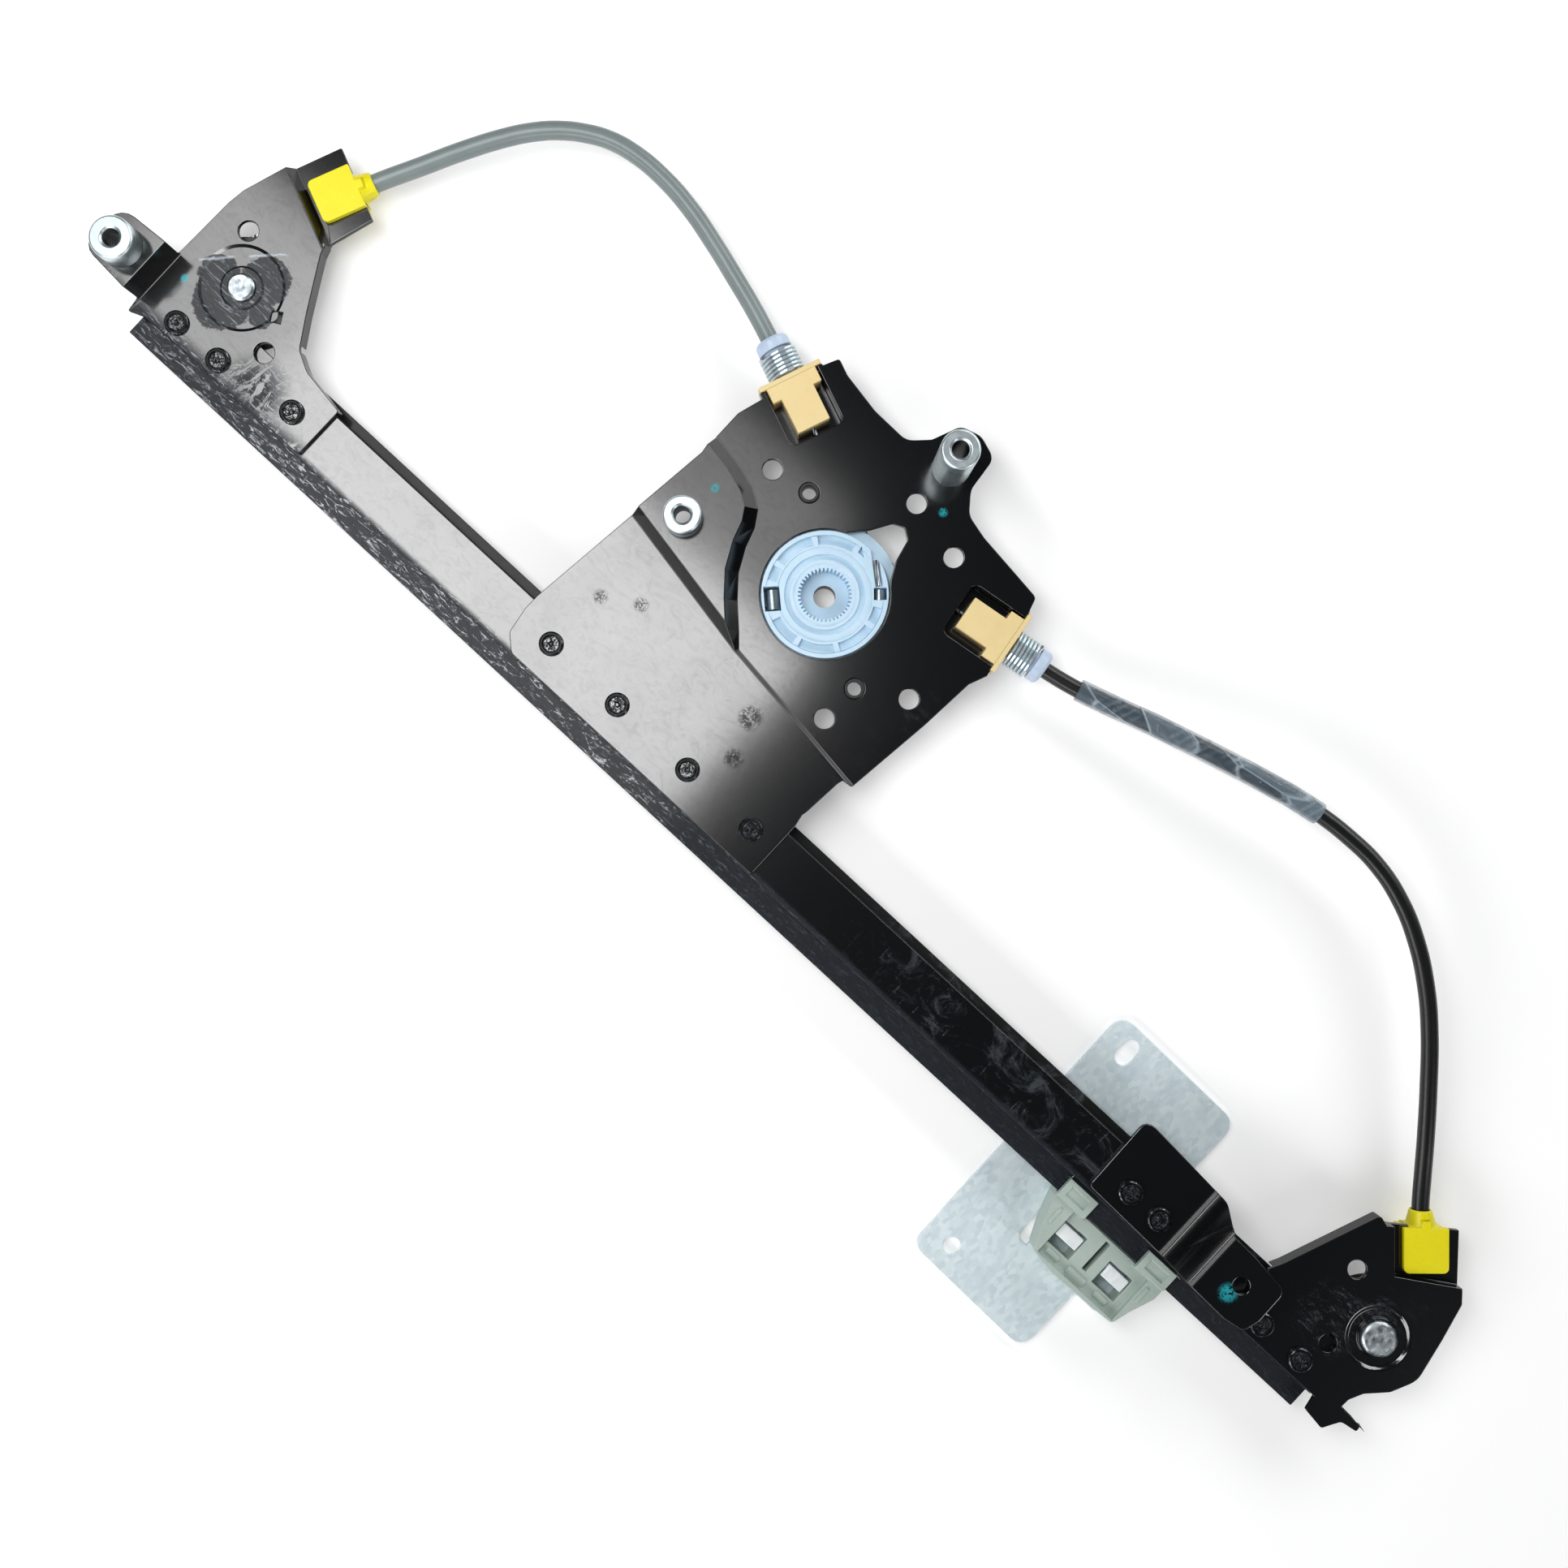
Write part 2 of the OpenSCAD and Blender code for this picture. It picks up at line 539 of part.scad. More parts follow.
// Clinch rivets through a bracket and the rail web
module rivets(at) {
  color(steel_black) for (p = at) translate([p.x, p.y, 0]) rotate_extrude()
    polygon([[0, -2.5], [3.6, -2.5], [4, -2.1], [4, -rail_t - 0.01], [rivet_r, -rail_t - 0.01],
      [rivet_r, sheet_t + 0.01], [rivet_head_r, sheet_t + 0.01], [rivet_head_r, sheet_t + 0.9],
      [3.4, sheet_t + 1.3], [2.9, sheet_t + 1.3], [2.5, sheet_t + 0.5], [0.9, sheet_t + 0.5],
      [0.5, sheet_t + 1.1], [0, sheet_t + 1.1]]);
}

module upper_bracket_rivets() { rivets(upper_rivets); }
module motor_plate_rivets() { rivets(plate_rivets); }
module mount_bracket_rivets() { rivets(mount_rivets); }
module lower_bracket_rivets() { rivets(lower_rivets); }

// Round nut swaged into a sheet whose top face is at z
module swaged_nut(at, z, r, h) {
  color(zinc) translate([at.x, at.y, z]) rotate_extrude()
    polygon([[nut_bore_r, -sheet_t - 0.8], [spigot_r + 0.9, -sheet_t - 0.8],
      [spigot_r + 0.9, -sheet_t - 0.01], [spigot_r, -sheet_t - 0.01], [spigot_r, 0.01],
      [r, 0.01], [r, h - 0.6], [r - 0.6, h], [nut_bore_r + 0.9, h], [nut_bore_r, h - 0.9]]);
}

module upper_mount_nut() { swaged_nut(upper_nut_at, raised_z, 6.9, 8.5); }
module middle_mount_nut() { swaged_nut(middle_nut_at, field_z, 6.2, 7); }
module outer_mount_nut() { swaged_nut(outer_nut_at, drum_field_z, 6.25, tall_nut_h); }

// Pulley pin with a flat front head and a riveted washer head behind the pulley
module pulley_pin(at, head_r) {
  color(zinc) translate([at.x, at.y, 0]) rotate_extrude()
    polygon([[0, -10.2], [5.6, -10.2], [6.4, -9.6], [6.4, pulley_back - slide_gap],
      [pin_r, pulley_back - slide_gap], [pin_r, sheet_t + 0.01], [head_r, sheet_t + 0.01],
      [head_r, sheet_t + 0.9], [head_r - 0.9, sheet_t + 1.5], [0, sheet_t + 1.5]]);
}

module upper_pulley_pin() { pulley_pin(upper_axis, 4.6); }
module lower_pulley_pin() { pulley_pin(lower_axis, 5.8); }

// Grooved pulley that turns on its pin
module pulley(at) {
  g = pulley_pitch_r - cable_r - slide_gap;
  w = cable_r + slide_gap;
  color([0.85, 0.85, 0.82]) translate([at.x, at.y, cable_z]) difference() {
    rotate_extrude() polygon([[pin_r + run_gap, -pulley_h / 2], [18, -pulley_h / 2],
      [18, -w - 1.1], [g, -w], [g, w], [18, w + 1.1], [18, pulley_h / 2 - 0.1],
      [7, pulley_h / 2 - 0.1], [7, -cable_z - slide_gap], [pin_r + run_gap, -cable_z - slide_gap]]);
    for (a = [0:60:300]) rotate([0, 0, a]) translate([10.8, 0, -10]) cylinder(r = 2.4, h = 20);
  }
}

module upper_pulley() { pulley(upper_axis); }
module lower_pulley() { pulley(lower_axis); }

// Yellow end that holds a conduit in a bracket's pad, in the cable's own frame
module conduit_end(leave, heading, at, exit_at, conduit_r) {
  h = end_w / 2;
  pad_back = pad_z - sheet_t;
  color(yellow) translate([leave.x, leave.y, 0]) rotate([0, 0, heading]) difference() {
    union() {
      // cover plate on the pad, with a small tongue over the nozzle
      slab(rounded([[at, -h, 1.8], [at + end_len, -h, 0.4], [at + end_len, h, 0.4], [at, h, 1.8]]),
        pad_z + 0.01, 0);
      translate([at + end_len - 1, -1.5, -1.2]) cube([2.9, 3, 1.2]);
      // middle in the pad's slot, and the wider body behind the pad
      translate([at + 1.6 + seat_gap, -end_core_w / 2, end_back])
        cube([end_len - 1.6 - seat_gap, end_core_w, pad_z + 0.5 - end_back]);
      translate([at + 0.8, -6.8, end_back]) cube([end_len - 1.2, 13.6, pad_back - 0.01 - end_back]);
      // nozzle round the conduit
      translate([at + end_len - 1, 0, cable_z]) rotate([0, 90, 0])
        cylinder(r1 = 5.1, r2 = conduit_r + 0.8, h = nozzle_len + 1);
    }
    translate([at - 1, 0, cable_z]) rotate([0, 90, 0]) cylinder(r = block_bore_r, h = 40);
    translate([exit_at - 7 - seat_gap, 0, cable_z]) rotate([0, 90, 0])
      cylinder(r = conduit_r + seat_gap, h = 40);
  }
}

module upper_conduit_end() {
  conduit_end(upper_leave, upper_heading, upper_end_at, upper_run, upper_conduit_r);
}
module lower_conduit_end() {
  conduit_end(lower_leave, lower_heading, lower_end_at, lower_run, lower_conduit_r);
}

// Hollow conduits along their routes
module conduit(route, r, sides) {
  difference() {
    swept(route, r, sides);
    swept(stretched(route, 1), conduit_bore_r, 8);
  }
}

module upper_conduit() { color([0.5, 0.55, 0.54]) conduit(upper_route, upper_conduit_r, 12); }
module lower_conduit() { color([0.05, 0.05, 0.055]) conduit(lower_route, lower_conduit_r, 12); }

// Clear film sleeve over the lower conduit's first stretch
module conduit_film() {
  part = [for (i = [2:8]) lower_route[i]];
  color([0.75, 0.8, 0.82]) difference() {
    swept(part, lower_conduit_r + 0.3 + film_t, 12);
    swept(stretched(part, 1), lower_conduit_r + 0.3, 12);
  }
}

// Cap that closes the spring and holds the conduit's end, with its inner sleeve
module conduit_cap(touch, angle, z, cap_end, conduit_r) {
  color(nylon) translate([touch.x, touch.y, z]) rotate([0, 0, angle]) translate([cap_end, 0, 0])
    rotate([0, 90, 0]) rotate_extrude()
      polygon([[block_bore_r, -cap_len - spring_len + 0.4], [3.9, -cap_len - spring_len + 0.4],
        [3.9, -cap_len], [5.7, -cap_len], [5.7, -1], [4.9, 0], [conduit_r + seat_gap, 0],
        [conduit_r + seat_gap, -6 - seat_gap], [block_bore_r, -6 - seat_gap]]);
}

module upper_conduit_cap() {
  conduit_cap(upper_touch, upper_out_angle, upper_out_z, upper_cap_end, upper_conduit_r);
}
module lower_conduit_cap() {
  conduit_cap(lower_touch, lower_out_angle, lower_out_z, lower_cap_end, lower_conduit_r);
}

// Compression spring between the block and the cap
module tension_spring(touch, angle, z, from) {
  wire = 0.6;
  coil = 5.9;
  turns = 6;
  steps = 16;
  rise = spring_len - 2 * wire - 0.3;
  coils = [for (i = [0:turns * steps]) [wire + 0.15 + rise * i / (turns * steps),
    coil * cos(360 * i / steps), coil * sin(360 * i / steps)]];
  n = len(coils);
  sides = 6;
  pts = [for (i = [0:n - 1]) let (out = [0, coils[i].y, coils[i].z] / coil)
    for (k = [0:sides - 1]) coils[i] + wire * (cos(360 * k / sides) * [1, 0, 0]
      + sin(360 * k / sides) * out)];
  color(zinc) translate([touch.x, touch.y, z]) rotate([0, 0, angle]) translate([from, 0, 0])
    polyhedron(points = pts, faces = concat([[for (k = [0:sides - 1]) k]],
      [for (i = [0:n - 2]) for (k = [0:sides - 1]) let (a = i * sides + k,
        b = i * sides + (k + 1) % sides) each [[a, a + sides, b], [b, a + sides, b + sides]]],
      [[for (k = [sides - 1:-1:0]) (n - 1) * sides + k]]), convexity = 8);
}

module upper_tension_spring() {
  tension_spring(upper_touch, upper_out_angle, upper_out_z, upper_block_at + block_len);
}
module lower_tension_spring() {
  tension_spring(lower_touch, lower_out_angle, lower_out_z, lower_block_at + block_len);
}

// T-shaped block in an outlet pocket: stem, bar and the thin flange over the plate's edge
module outlet_block(touch, angle, z, from) {
  base = pocket_z + 0.01;
  bar = from + block_len - 6.6;
  color(beige) at_outlet(touch, angle) difference() {
    union() {
      translate([from, -5.7, base]) cube([block_len - 5, 11.4, 0.6 - base]);
      translate([bar, -8.7, base]) cube([5.1, 17.4, 0.6 - base]);
      translate([from + block_len - 1.6, -11, base]) cube([1.6, 22, 0.9 - base]);
    }
    translate([from - 1, 0, z]) rotate([0, 90, 0]) cylinder(r = block_bore_r, h = 40);
    translate([from + block_len - 1, 0, z]) rotate([0, 90, 0]) cylinder(r = 3, h = 5);
  }
}

module upper_outlet_block() {
  outlet_block(upper_touch, upper_out_angle, upper_out_z, upper_block_at);
}
module lower_outlet_block() {
  outlet_block(lower_touch, lower_out_angle, lower_out_z, lower_block_at);
}

// Each cable as one tube: straight run, arc round the pulley, conduit route and drum lead
function arc_points(axis, from, to, steps) = [for (i = [0:steps]) let (a = from
  + (to - from) * i / steps) [axis.x + pulley_pitch_r * cos(a), axis.y
  + pulley_pitch_r * sin(a), cable_z]];
function lead_point(touch, out, z) = [touch.x + lead_start * out.x, touch.y + lead_start * out.y, z];

module upper_cable() {
  color(zinc) swept(concat([[shoe_x + span_shift - 1, cable_y, cable_z]],
    arc_points(upper_axis, 270, upper_heading + 90, 7), upper_route,
    [lead_point(upper_touch, upper_out, upper_out_z)]), cable_r, 8);
}

module lower_cable() {
  color(zinc) swept(concat([lead_point(lower_touch, lower_out, lower_out_z)], lower_route,
    arc_points(lower_axis, lower_heading - 90, -90, 8), [[shoe_x + span_shift + 1, cable_y, cable_z]]),
    cable_r, 8);
}

// Cup behind the motor plate: wall with the cable opening, floor, bearing post, two ears
module drum_housing() {
  color([0.16, 0.17, 0.18]) difference() {
    union() {
      difference() {
        rotate_extrude() polygon([[drum_hole_r, cup_back], [cup_r + cup_wall, cup_back],
          [cup_r + cup_wall, cup_top - 0.4], [cup_r, cup_top - 0.4], [cup_r, cup_floor_z],
          [post_r, cup_floor_z], [post_r, -8.3], [drum_hole_r, -8.3]]);
        // open sector for both cables and the window
        slab([for (p = [[12, 45], [40, 45], [50, 86], [40, 128], [12, 128]])
          p.x * [cos(p.y), sin(p.y)]], cup_floor_z - 0.3, 10);
        slab([for (p = [[23.6, 54], [40, 54], [50, 86], [40, 120], [23.6, 120]])
          p.x * [cos(p.y), sin(p.y)]], -30, 10);
      }
      for (p = ear_holes) {
        a = atan2(p.y, p.x);
        rotate([0, 0, a]) translate([cup_r + 0.6, -4, cup_top - 3])
          cube([norm(p) - cup_r - 1.6, 8, 3]);
        // eye of the ear, stepped to fill the plate's hole
        translate([p.x, p.y, 0]) rotate([0, 0, a + 30]) rotate_extrude() polygon([
          [0, cup_top - 3.4], [4.6, cup_top - 3.4], [4.6, cup_top],
          [ear_hole_r - seat_gap, cup_top], [ear_hole_r - seat_gap, 0.6], [0, 0.6]]);
      }
    }
    for (p = ear_holes) post(p, 2.3, -cut, cut);
  }
}

// Drum: raised face with rim windows, cable barrel, flanges, motor spline, bearing bore
module cable_drum() {
  groove = drum_pitch_r - cable_r - 0.05;
  color(nylon) difference() {
    rotate_extrude() polygon([[drum_hole_r, -1.6], [spline_r + 1.1, -1.6],
      [spline_r + 1.6, -1.2], [11.35, -1.2], [11.35, -2.2], [13.2, -2.2], [13.2, -1], [15.5, -1],
      [15.5, -0.5], [19.3, -0.5], [19.3, drum_top],
      [drum_face_r, drum_top], [drum_face_r, front_flange_z], [drum_flange_r, front_flange_z],
      [drum_flange_r, barrel_top], [groove + 0.6, barrel_top], [groove, barrel_top - 0.3],
      [groove, barrel_bottom], [drum_flange_r, barrel_bottom], [drum_flange_r, rear_flange_z],
      [post_r + run_gap, rear_flange_z], [post_r + run_gap, -8], [drum_hole_r, -8]]);
    // internal spline for the motor shaft
    translate([0, 0, -7]) linear_extrude(20) polygon([for (i = [0:79]) for (s = [-0.3, 0.3])
      let (r = i % 2 == 0 ? spline_r : spline_r - 1, a = 4.5 * (i + s)) r * [cos(a), sin(a)]]);
    // windows in the rim
    for (w = [[101, 140], [146, 187], [193, 208], [249, 279], [285, 322], [328, 366], [12, 29]])
      rotate([0, 0, w[0]]) rotate_extrude(angle = w[1] - w[0])
        polygon([[16.2, -2.1], [19.1, -2.1], [19.1, 3], [16.2, 3]]);
    // pockets for the cable nipples
    rotate([0, 0, 43.4]) translate([15.9, -2, -9.4]) cube([4.2, 4, 20]);
    rotate([0, 0, 227.4]) translate([14.6, -4, -9.4]) cube([5.2, 8, 20]);
    rotate([0, 0, 227.4]) translate([17, 2.6, -11]) rotate([0, 0, -22]) cube([9, 2, 2]);
    // channel across the rim for the end of the upper cable, and the opening beside it
    translate([-1.4, 24.3, -1.9]) rotate([0, 0, -39.8]) translate([0, -1.15, 0]) cube([17.8, 2.3, 5]);
    slab([[-1.8, 19.6], [-1.4, 17.4], [1.1, 17.4]], -2.1, 3);
  }
}

// Cable wound on the drum: one turn of the upper cable, three of the lower one
module drum_cable_turns() {
  color(zinc) for (k = [0:3]) translate([0, 0, upper_out_z - k * groove_pitch])
    rotate([0, 0, k == 0 ? 70 : 0]) rotate_extrude(angle = k == 0 ? -230 : 360)
      translate([drum_pitch_r, 0]) circle(r = cable_r, $fn = 16);
  // end of the upper cable in the channel of the rim
  color(zinc) translate([-1.4, 24.3, -1.1]) rotate([0, 0, -39.8]) rotate([0, 90, 0])
    translate([0, 0, 7.7]) cylinder(r = cable_r, h = 8.3);
}

// Cable nipples in the drum's pockets
module drum_cable_nipples() {
  color(zinc) {
    rotate([0, 0, 43.4]) translate([18, -1.7, -4.6]) rotate([-90, 0, 0]) cylinder(r = 1.8, h = 3.4);
    rotate([0, 0, 227.4]) translate([17, -3.2, -5]) rotate([-90, 0, 0]) cylinder(r = 2.1, h = 6.4);
  }
}

// Lift plate with the glass fixing holes, the cut-out and the two shoe tabs
module lift_plate() {
  z0 = plate_z - plate_t;
  color(zinc) lower_end() difference() {
    union() {
      slab(rounded([[167.2, -137.6, 4], [166.8, -113, 1.5], [166.8, -34, 5], [219.2, -35, 5],
        [219.2, -93.4, 2], [228, -93.8, 2], [228, -113, 2], [218.2, -113, 1], [217.6, -138.6, 5]]),
        z0, plate_z);
      for (x = tab_x) translate([x - 4.4, -99, z0]) cube([8.8, 1.8, -5 - z0]);
    }
    translate([0, 0, z0 - 1]) {
      // slot for the glass fixing, along Y
      translate([176.6, -42.3, 0]) {
        translate([0, -1.7, 0]) cylinder(r = 3.15, h = 9);
        translate([0, 1.7, 0]) cylinder(r = 3.15, h = 9);
        translate([-3.15, -1.7, 0]) cube([6.3, 3.4, 9]);
      }
      translate([177.2, -129.3, 0]) cylinder(r = 3.1, h = 9);
      // L-shaped cut-out beside the shoe
      slab([[190.7, -93.2], [190.7, -110.6], [192.4, -112.2], [195.6, -112.2], [195.6, -93.2]], 0, 9);
    }
    for (x = tab_x) translate([x - 4.4, -97.2, z0 - 1]) cube([8.8, 6, 9]);
  }
}

shoe_outline = rounded([[187.8, -84.9, 0.6], [187.8, -92.8, 0.6], [191.2, -102.8, 2],
  [194.8, -110.6, 2], [204, -111.9, 1], [223.3, -111.3, 1], [229.6, -110.8, 2], [231.4, -104.4, 1],
  [234.6, -95.5, 2], [234.6, -84.9, 0.6]]);

// Slider shoe: body outside the flange, two clips over it, cable holder in the rail channel
module slider_shoe() {
  base = plate_z + 0.05;
  back = flange_z - rail_t - slide_gap;
  hold_y0 = web_out_y + rail_t + slide_gap + 0.1;
  hold_y1 = web_in_y - rail_t - slide_gap - 0.1;
  hold_z = -3;
  color([0.62, 0.7, 0.66]) lower_end() difference() {
    union() {
      // body beside and behind the flange
      slab(shoe_outline, base, -2.2);
      translate([shoe_x - 14, -90, base]) cube([28, hold_y1 + 90, back - 0.2 - base]);
      // cable holder
      translate([shoe_x - 12, hold_y0, base]) cube([24, hold_y1 - hold_y0, hold_z - base]);
      // raised frames of the clips
      for (x = [187.8, 222.6]) translate([x, -91.8, -2.3]) cube([12, 6.9, 1]);
    }
    // room for the flange, and the gap between both clips
    translate([180, flange_edge_y - slide_gap, back])
      cube([70, web_out_y - flange_edge_y + slide_gap, rail_t + 2 * slide_gap]);
    translate([180, web_out_y - slide_gap, back]) cube([20, 40, 30]);
    translate([shoe_x - cut, web_out_y - slide_gap, back])
      cube([2 * cut, rail_t + 2 * slide_gap + 0.1, 30]);
    translate([199.8, flange_edge_y - slide_gap, back]) cube([22.8, 6.8 + slide_gap, 30]);
    // recessed front between and below the clips
    translate([199.8, -93, -4.6]) cube([22.8, 5, 10]);
    translate([196, -110, -4.6]) cube([33, 17.5, 10]);
    // windows for the tabs of the lift plate
    for (x = tab_x) translate([x - 4.9, -105.6, -30]) cube([9.8, 9.4, 40]);
    // slot between the windows
    translate([211.1, -104.5, -30]) cube([1.8, 12, 40]);
    // insets of the clips
    for (x = [190, 224.8]) translate([x, -90.2, -1.9]) cube([7.6, 3.6, 3]);
    // cable bore and the nipple seats
    translate([150, cable_y, cable_z]) rotate([0, 90, 0]) cylinder(r = block_bore_r, h = 120);
    for (x = [-9, 3]) translate([shoe_x + x - seat_gap, cable_y, cable_z]) {
      rotate([0, 90, 0]) cylinder(r = nipple_r + seat_gap, h = 6 + 2 * seat_gap);
      translate([0, -nipple_r - seat_gap, -20])
        cube([6 + 2 * seat_gap, 2 * (nipple_r + seat_gap), 20]);
    }
  }
}

// Cable nipples in the shoe's seats
module shoe_cable_nipples() {
  color(zinc) lower_end() for (x = [-9, 3]) translate([shoe_x + x, cable_y, cable_z])
    rotate([0, 90, 0]) difference() {
      cylinder(r = nipple_r, h = 6);
      translate([0, 0, -1]) cylinder(r = block_bore_r, h = 8);
    }
}

guide_rail();
upper_bracket();
lower_bracket();
motor_plate();
lower_mount_bracket();
upper_bracket_rivets();
motor_plate_rivets();
mount_bracket_rivets();
lower_bracket_rivets();
upper_mount_nut();
middle_mount_nut();
outer_mount_nut();
upper_pulley_pin();
lower_pulley_pin();
upper_pulley();
lower_pulley();
upper_conduit_end();
lower_conduit_end();
upper_conduit();
lower_conduit();
conduit_film();
upper_conduit_cap();
lower_conduit_cap();
upper_tension_spring();
lower_tension_spring();
upper_outlet_block();
lower_outlet_block();
upper_cable();
lower_cable();
drum_housing();
cable_drum();
drum_cable_turns();
drum_cable_nipples();
lift_plate();
slider_shoe();
shoe_cable_nipples();
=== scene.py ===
import math

import bpy
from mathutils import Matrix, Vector


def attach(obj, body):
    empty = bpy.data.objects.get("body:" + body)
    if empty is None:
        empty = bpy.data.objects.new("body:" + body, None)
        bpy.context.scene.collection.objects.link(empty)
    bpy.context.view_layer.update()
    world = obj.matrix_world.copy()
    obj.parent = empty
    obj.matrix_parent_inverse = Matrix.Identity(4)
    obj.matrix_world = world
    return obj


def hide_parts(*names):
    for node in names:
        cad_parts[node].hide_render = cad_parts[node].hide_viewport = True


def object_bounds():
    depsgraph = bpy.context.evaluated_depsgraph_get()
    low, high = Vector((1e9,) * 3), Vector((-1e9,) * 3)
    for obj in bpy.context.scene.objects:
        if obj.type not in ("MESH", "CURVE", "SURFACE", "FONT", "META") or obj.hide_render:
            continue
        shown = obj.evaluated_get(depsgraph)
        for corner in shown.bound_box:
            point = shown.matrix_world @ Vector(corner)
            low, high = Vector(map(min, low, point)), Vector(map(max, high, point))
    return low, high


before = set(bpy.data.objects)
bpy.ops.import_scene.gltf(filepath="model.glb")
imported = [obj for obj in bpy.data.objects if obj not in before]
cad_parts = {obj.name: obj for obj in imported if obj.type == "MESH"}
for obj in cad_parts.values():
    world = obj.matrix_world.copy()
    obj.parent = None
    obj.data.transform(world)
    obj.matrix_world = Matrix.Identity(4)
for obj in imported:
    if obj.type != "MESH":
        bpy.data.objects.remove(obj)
cad_box = [list(corner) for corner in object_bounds()]
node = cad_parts
mm = 0.001


# Camera: straight over the rail, turned so that the rail runs down to the right

CAMERA_OVER = (32.0 * mm, -54.2 * mm)
CAMERA_HEIGHT = 500 * mm
CAMERA_TURN = math.radians(42.745)
VIEW_HALF_WIDTH = 254.2 * mm
SENSOR_WIDTH = 36


def set_camera():
    bpy.ops.object.camera_add(
        location=(*CAMERA_OVER, CAMERA_HEIGHT), rotation=(0, 0, CAMERA_TURN)
    )
    camera = bpy.context.object
    camera.data.sensor_width = SENSOR_WIDTH
    camera.data.lens = SENSOR_WIDTH / 2 * CAMERA_HEIGHT / VIEW_HALF_WIDTH
    camera.data.clip_start = 0.01
    bpy.context.scene.camera = camera


# Routes of the two conduits in millimetres, the same points as in the part's source

CABLE_Z = -5.2
UPPER_AXIS = (-205.5, -55.4)
LOWER_AXIS = (294.5, -55.4)
UPPER_EXIT = (-199.6, -0.2)
LOWER_EXIT = (279.1, -14.4)
PULLEY_PITCH = 16.4
DRUM_PITCH = 21
UPPER_OUT_ANGLE = math.radians(159)
LOWER_OUT_ANGLE = math.radians(8.3)
UPPER_OUT_Z = -4.6
LOWER_OUT_Z = -6.4
UPPER_BLOCK_AT = 50.5
LOWER_BLOCK_AT = 40.8
BLOCK_LENGTH = 18.8
SPRING_LENGTH = 9.5
CAP_LENGTH = 4
SPRING_TO_CAP = BLOCK_LENGTH + SPRING_LENGTH
IN_YELLOW_END = 7
IN_CAP = 6


def heading_to_exit(axis, leave, side):
    """Direction of the cable from the pulley to its yellow end."""
    dx, dy = leave[0] - axis[0], leave[1] - axis[1]
    return math.atan2(dy, dx) + side * math.asin(PULLEY_PITCH / math.hypot(dx, dy))


def ahead(point, angle, distance, z):
    """Point at height z that lies a distance from another, in one direction."""
    return (
        point[0] + distance * math.cos(angle),
        point[1] + distance * math.sin(angle),
        z,
    )


UPPER_HEADING = heading_to_exit(UPPER_AXIS, UPPER_EXIT, -1)
LOWER_HEADING = heading_to_exit(LOWER_AXIS, LOWER_EXIT, 1)
UPPER_TOUCH = (
    DRUM_PITCH * math.sin(UPPER_OUT_ANGLE),
    -DRUM_PITCH * math.cos(UPPER_OUT_ANGLE),
)
LOWER_TOUCH = (
    -DRUM_PITCH * math.sin(LOWER_OUT_ANGLE),
    DRUM_PITCH * math.cos(LOWER_OUT_ANGLE),
)
UPPER_CAP_END = UPPER_BLOCK_AT + SPRING_TO_CAP + CAP_LENGTH
LOWER_CAP_END = LOWER_BLOCK_AT + SPRING_TO_CAP + CAP_LENGTH

UPPER_ROUTE = [
    ahead(UPPER_EXIT, UPPER_HEADING, -IN_YELLOW_END, CABLE_Z),
    ahead(UPPER_EXIT, UPPER_HEADING, 0, CABLE_Z),
    (-192.5, 13, -4.4),
    (-185, 26.5, -3),
    (-177, 39, -1.6),
    (-171.5, 46, -0.8),
    (-165.5, 52, -0.4),
    (-158.5, 57, 0),
    (-151, 60.8, 0),
    (-142, 63, 0),
    (-130, 63.6, -0.3),
    (-117.5, 62.4, -1),
    (-104, 59.5, -2.2),
    (-92, 56.3, -3.4),
    (-80.5, 53, -4.2),
    ahead(UPPER_TOUCH, UPPER_OUT_ANGLE, UPPER_CAP_END, UPPER_OUT_Z),
    ahead(UPPER_TOUCH, UPPER_OUT_ANGLE, UPPER_CAP_END - IN_CAP, UPPER_OUT_Z),
]
LOWER_ROUTE = [
    ahead(LOWER_TOUCH, LOWER_OUT_ANGLE, LOWER_CAP_END - IN_CAP, LOWER_OUT_Z),
    ahead(LOWER_TOUCH, LOWER_OUT_ANGLE, LOWER_CAP_END, LOWER_OUT_Z),
    (82, 34, -6),
    (94.5, 37.8, -5),
    (107, 41.8, -3.6),
    (125, 46.8, -1.6),
    (141, 51, -0.4),
    (154.5, 54.3, 0),
    (166, 56.4, 0),
    (178, 57.4, 0),
    (191, 57, 0),
    (204.5, 53.6, 0),
    (217, 47.6, 0),
    (229.5, 39, -0.3),
    (240.3, 29.3, -0.8),
    (253, 15.7, -1.8),
    (263.8, 3.6, -3.2),
    (272.4, -6.3, -4.7),
    ahead(LOWER_EXIT, LOWER_HEADING, 0, CABLE_Z),
    ahead(LOWER_EXIT, LOWER_HEADING, -IN_YELLOW_END, CABLE_Z),
]
UPPER_CONDUIT_R = 3
LOWER_CONDUIT_R = 2.75
STEPS_BETWEEN_POINTS = 6
STEPS_ROUND_TUBE = 6


def curve_through(name, points, radius):
    """Round tube on one smooth open curve through points given in millimetres."""
    bpy.ops.curve.primitive_bezier_curve_add()
    tube = bpy.context.object
    tube.name = name
    tube.data.name = name
    spline = tube.data.splines[0]
    spline.bezier_points.add(len(points) - len(spline.bezier_points))
    for knot, point in zip(spline.bezier_points, points):
        knot.co = Vector(point) * mm
        knot.handle_left_type = "AUTO"
        knot.handle_right_type = "AUTO"
        knot.radius = radius * mm
    tube.data.resolution_u = STEPS_BETWEEN_POINTS
    tube.data.bevel_depth = 1
    tube.data.bevel_resolution = STEPS_ROUND_TUBE
    tube.data.use_fill_caps = True
    return tube


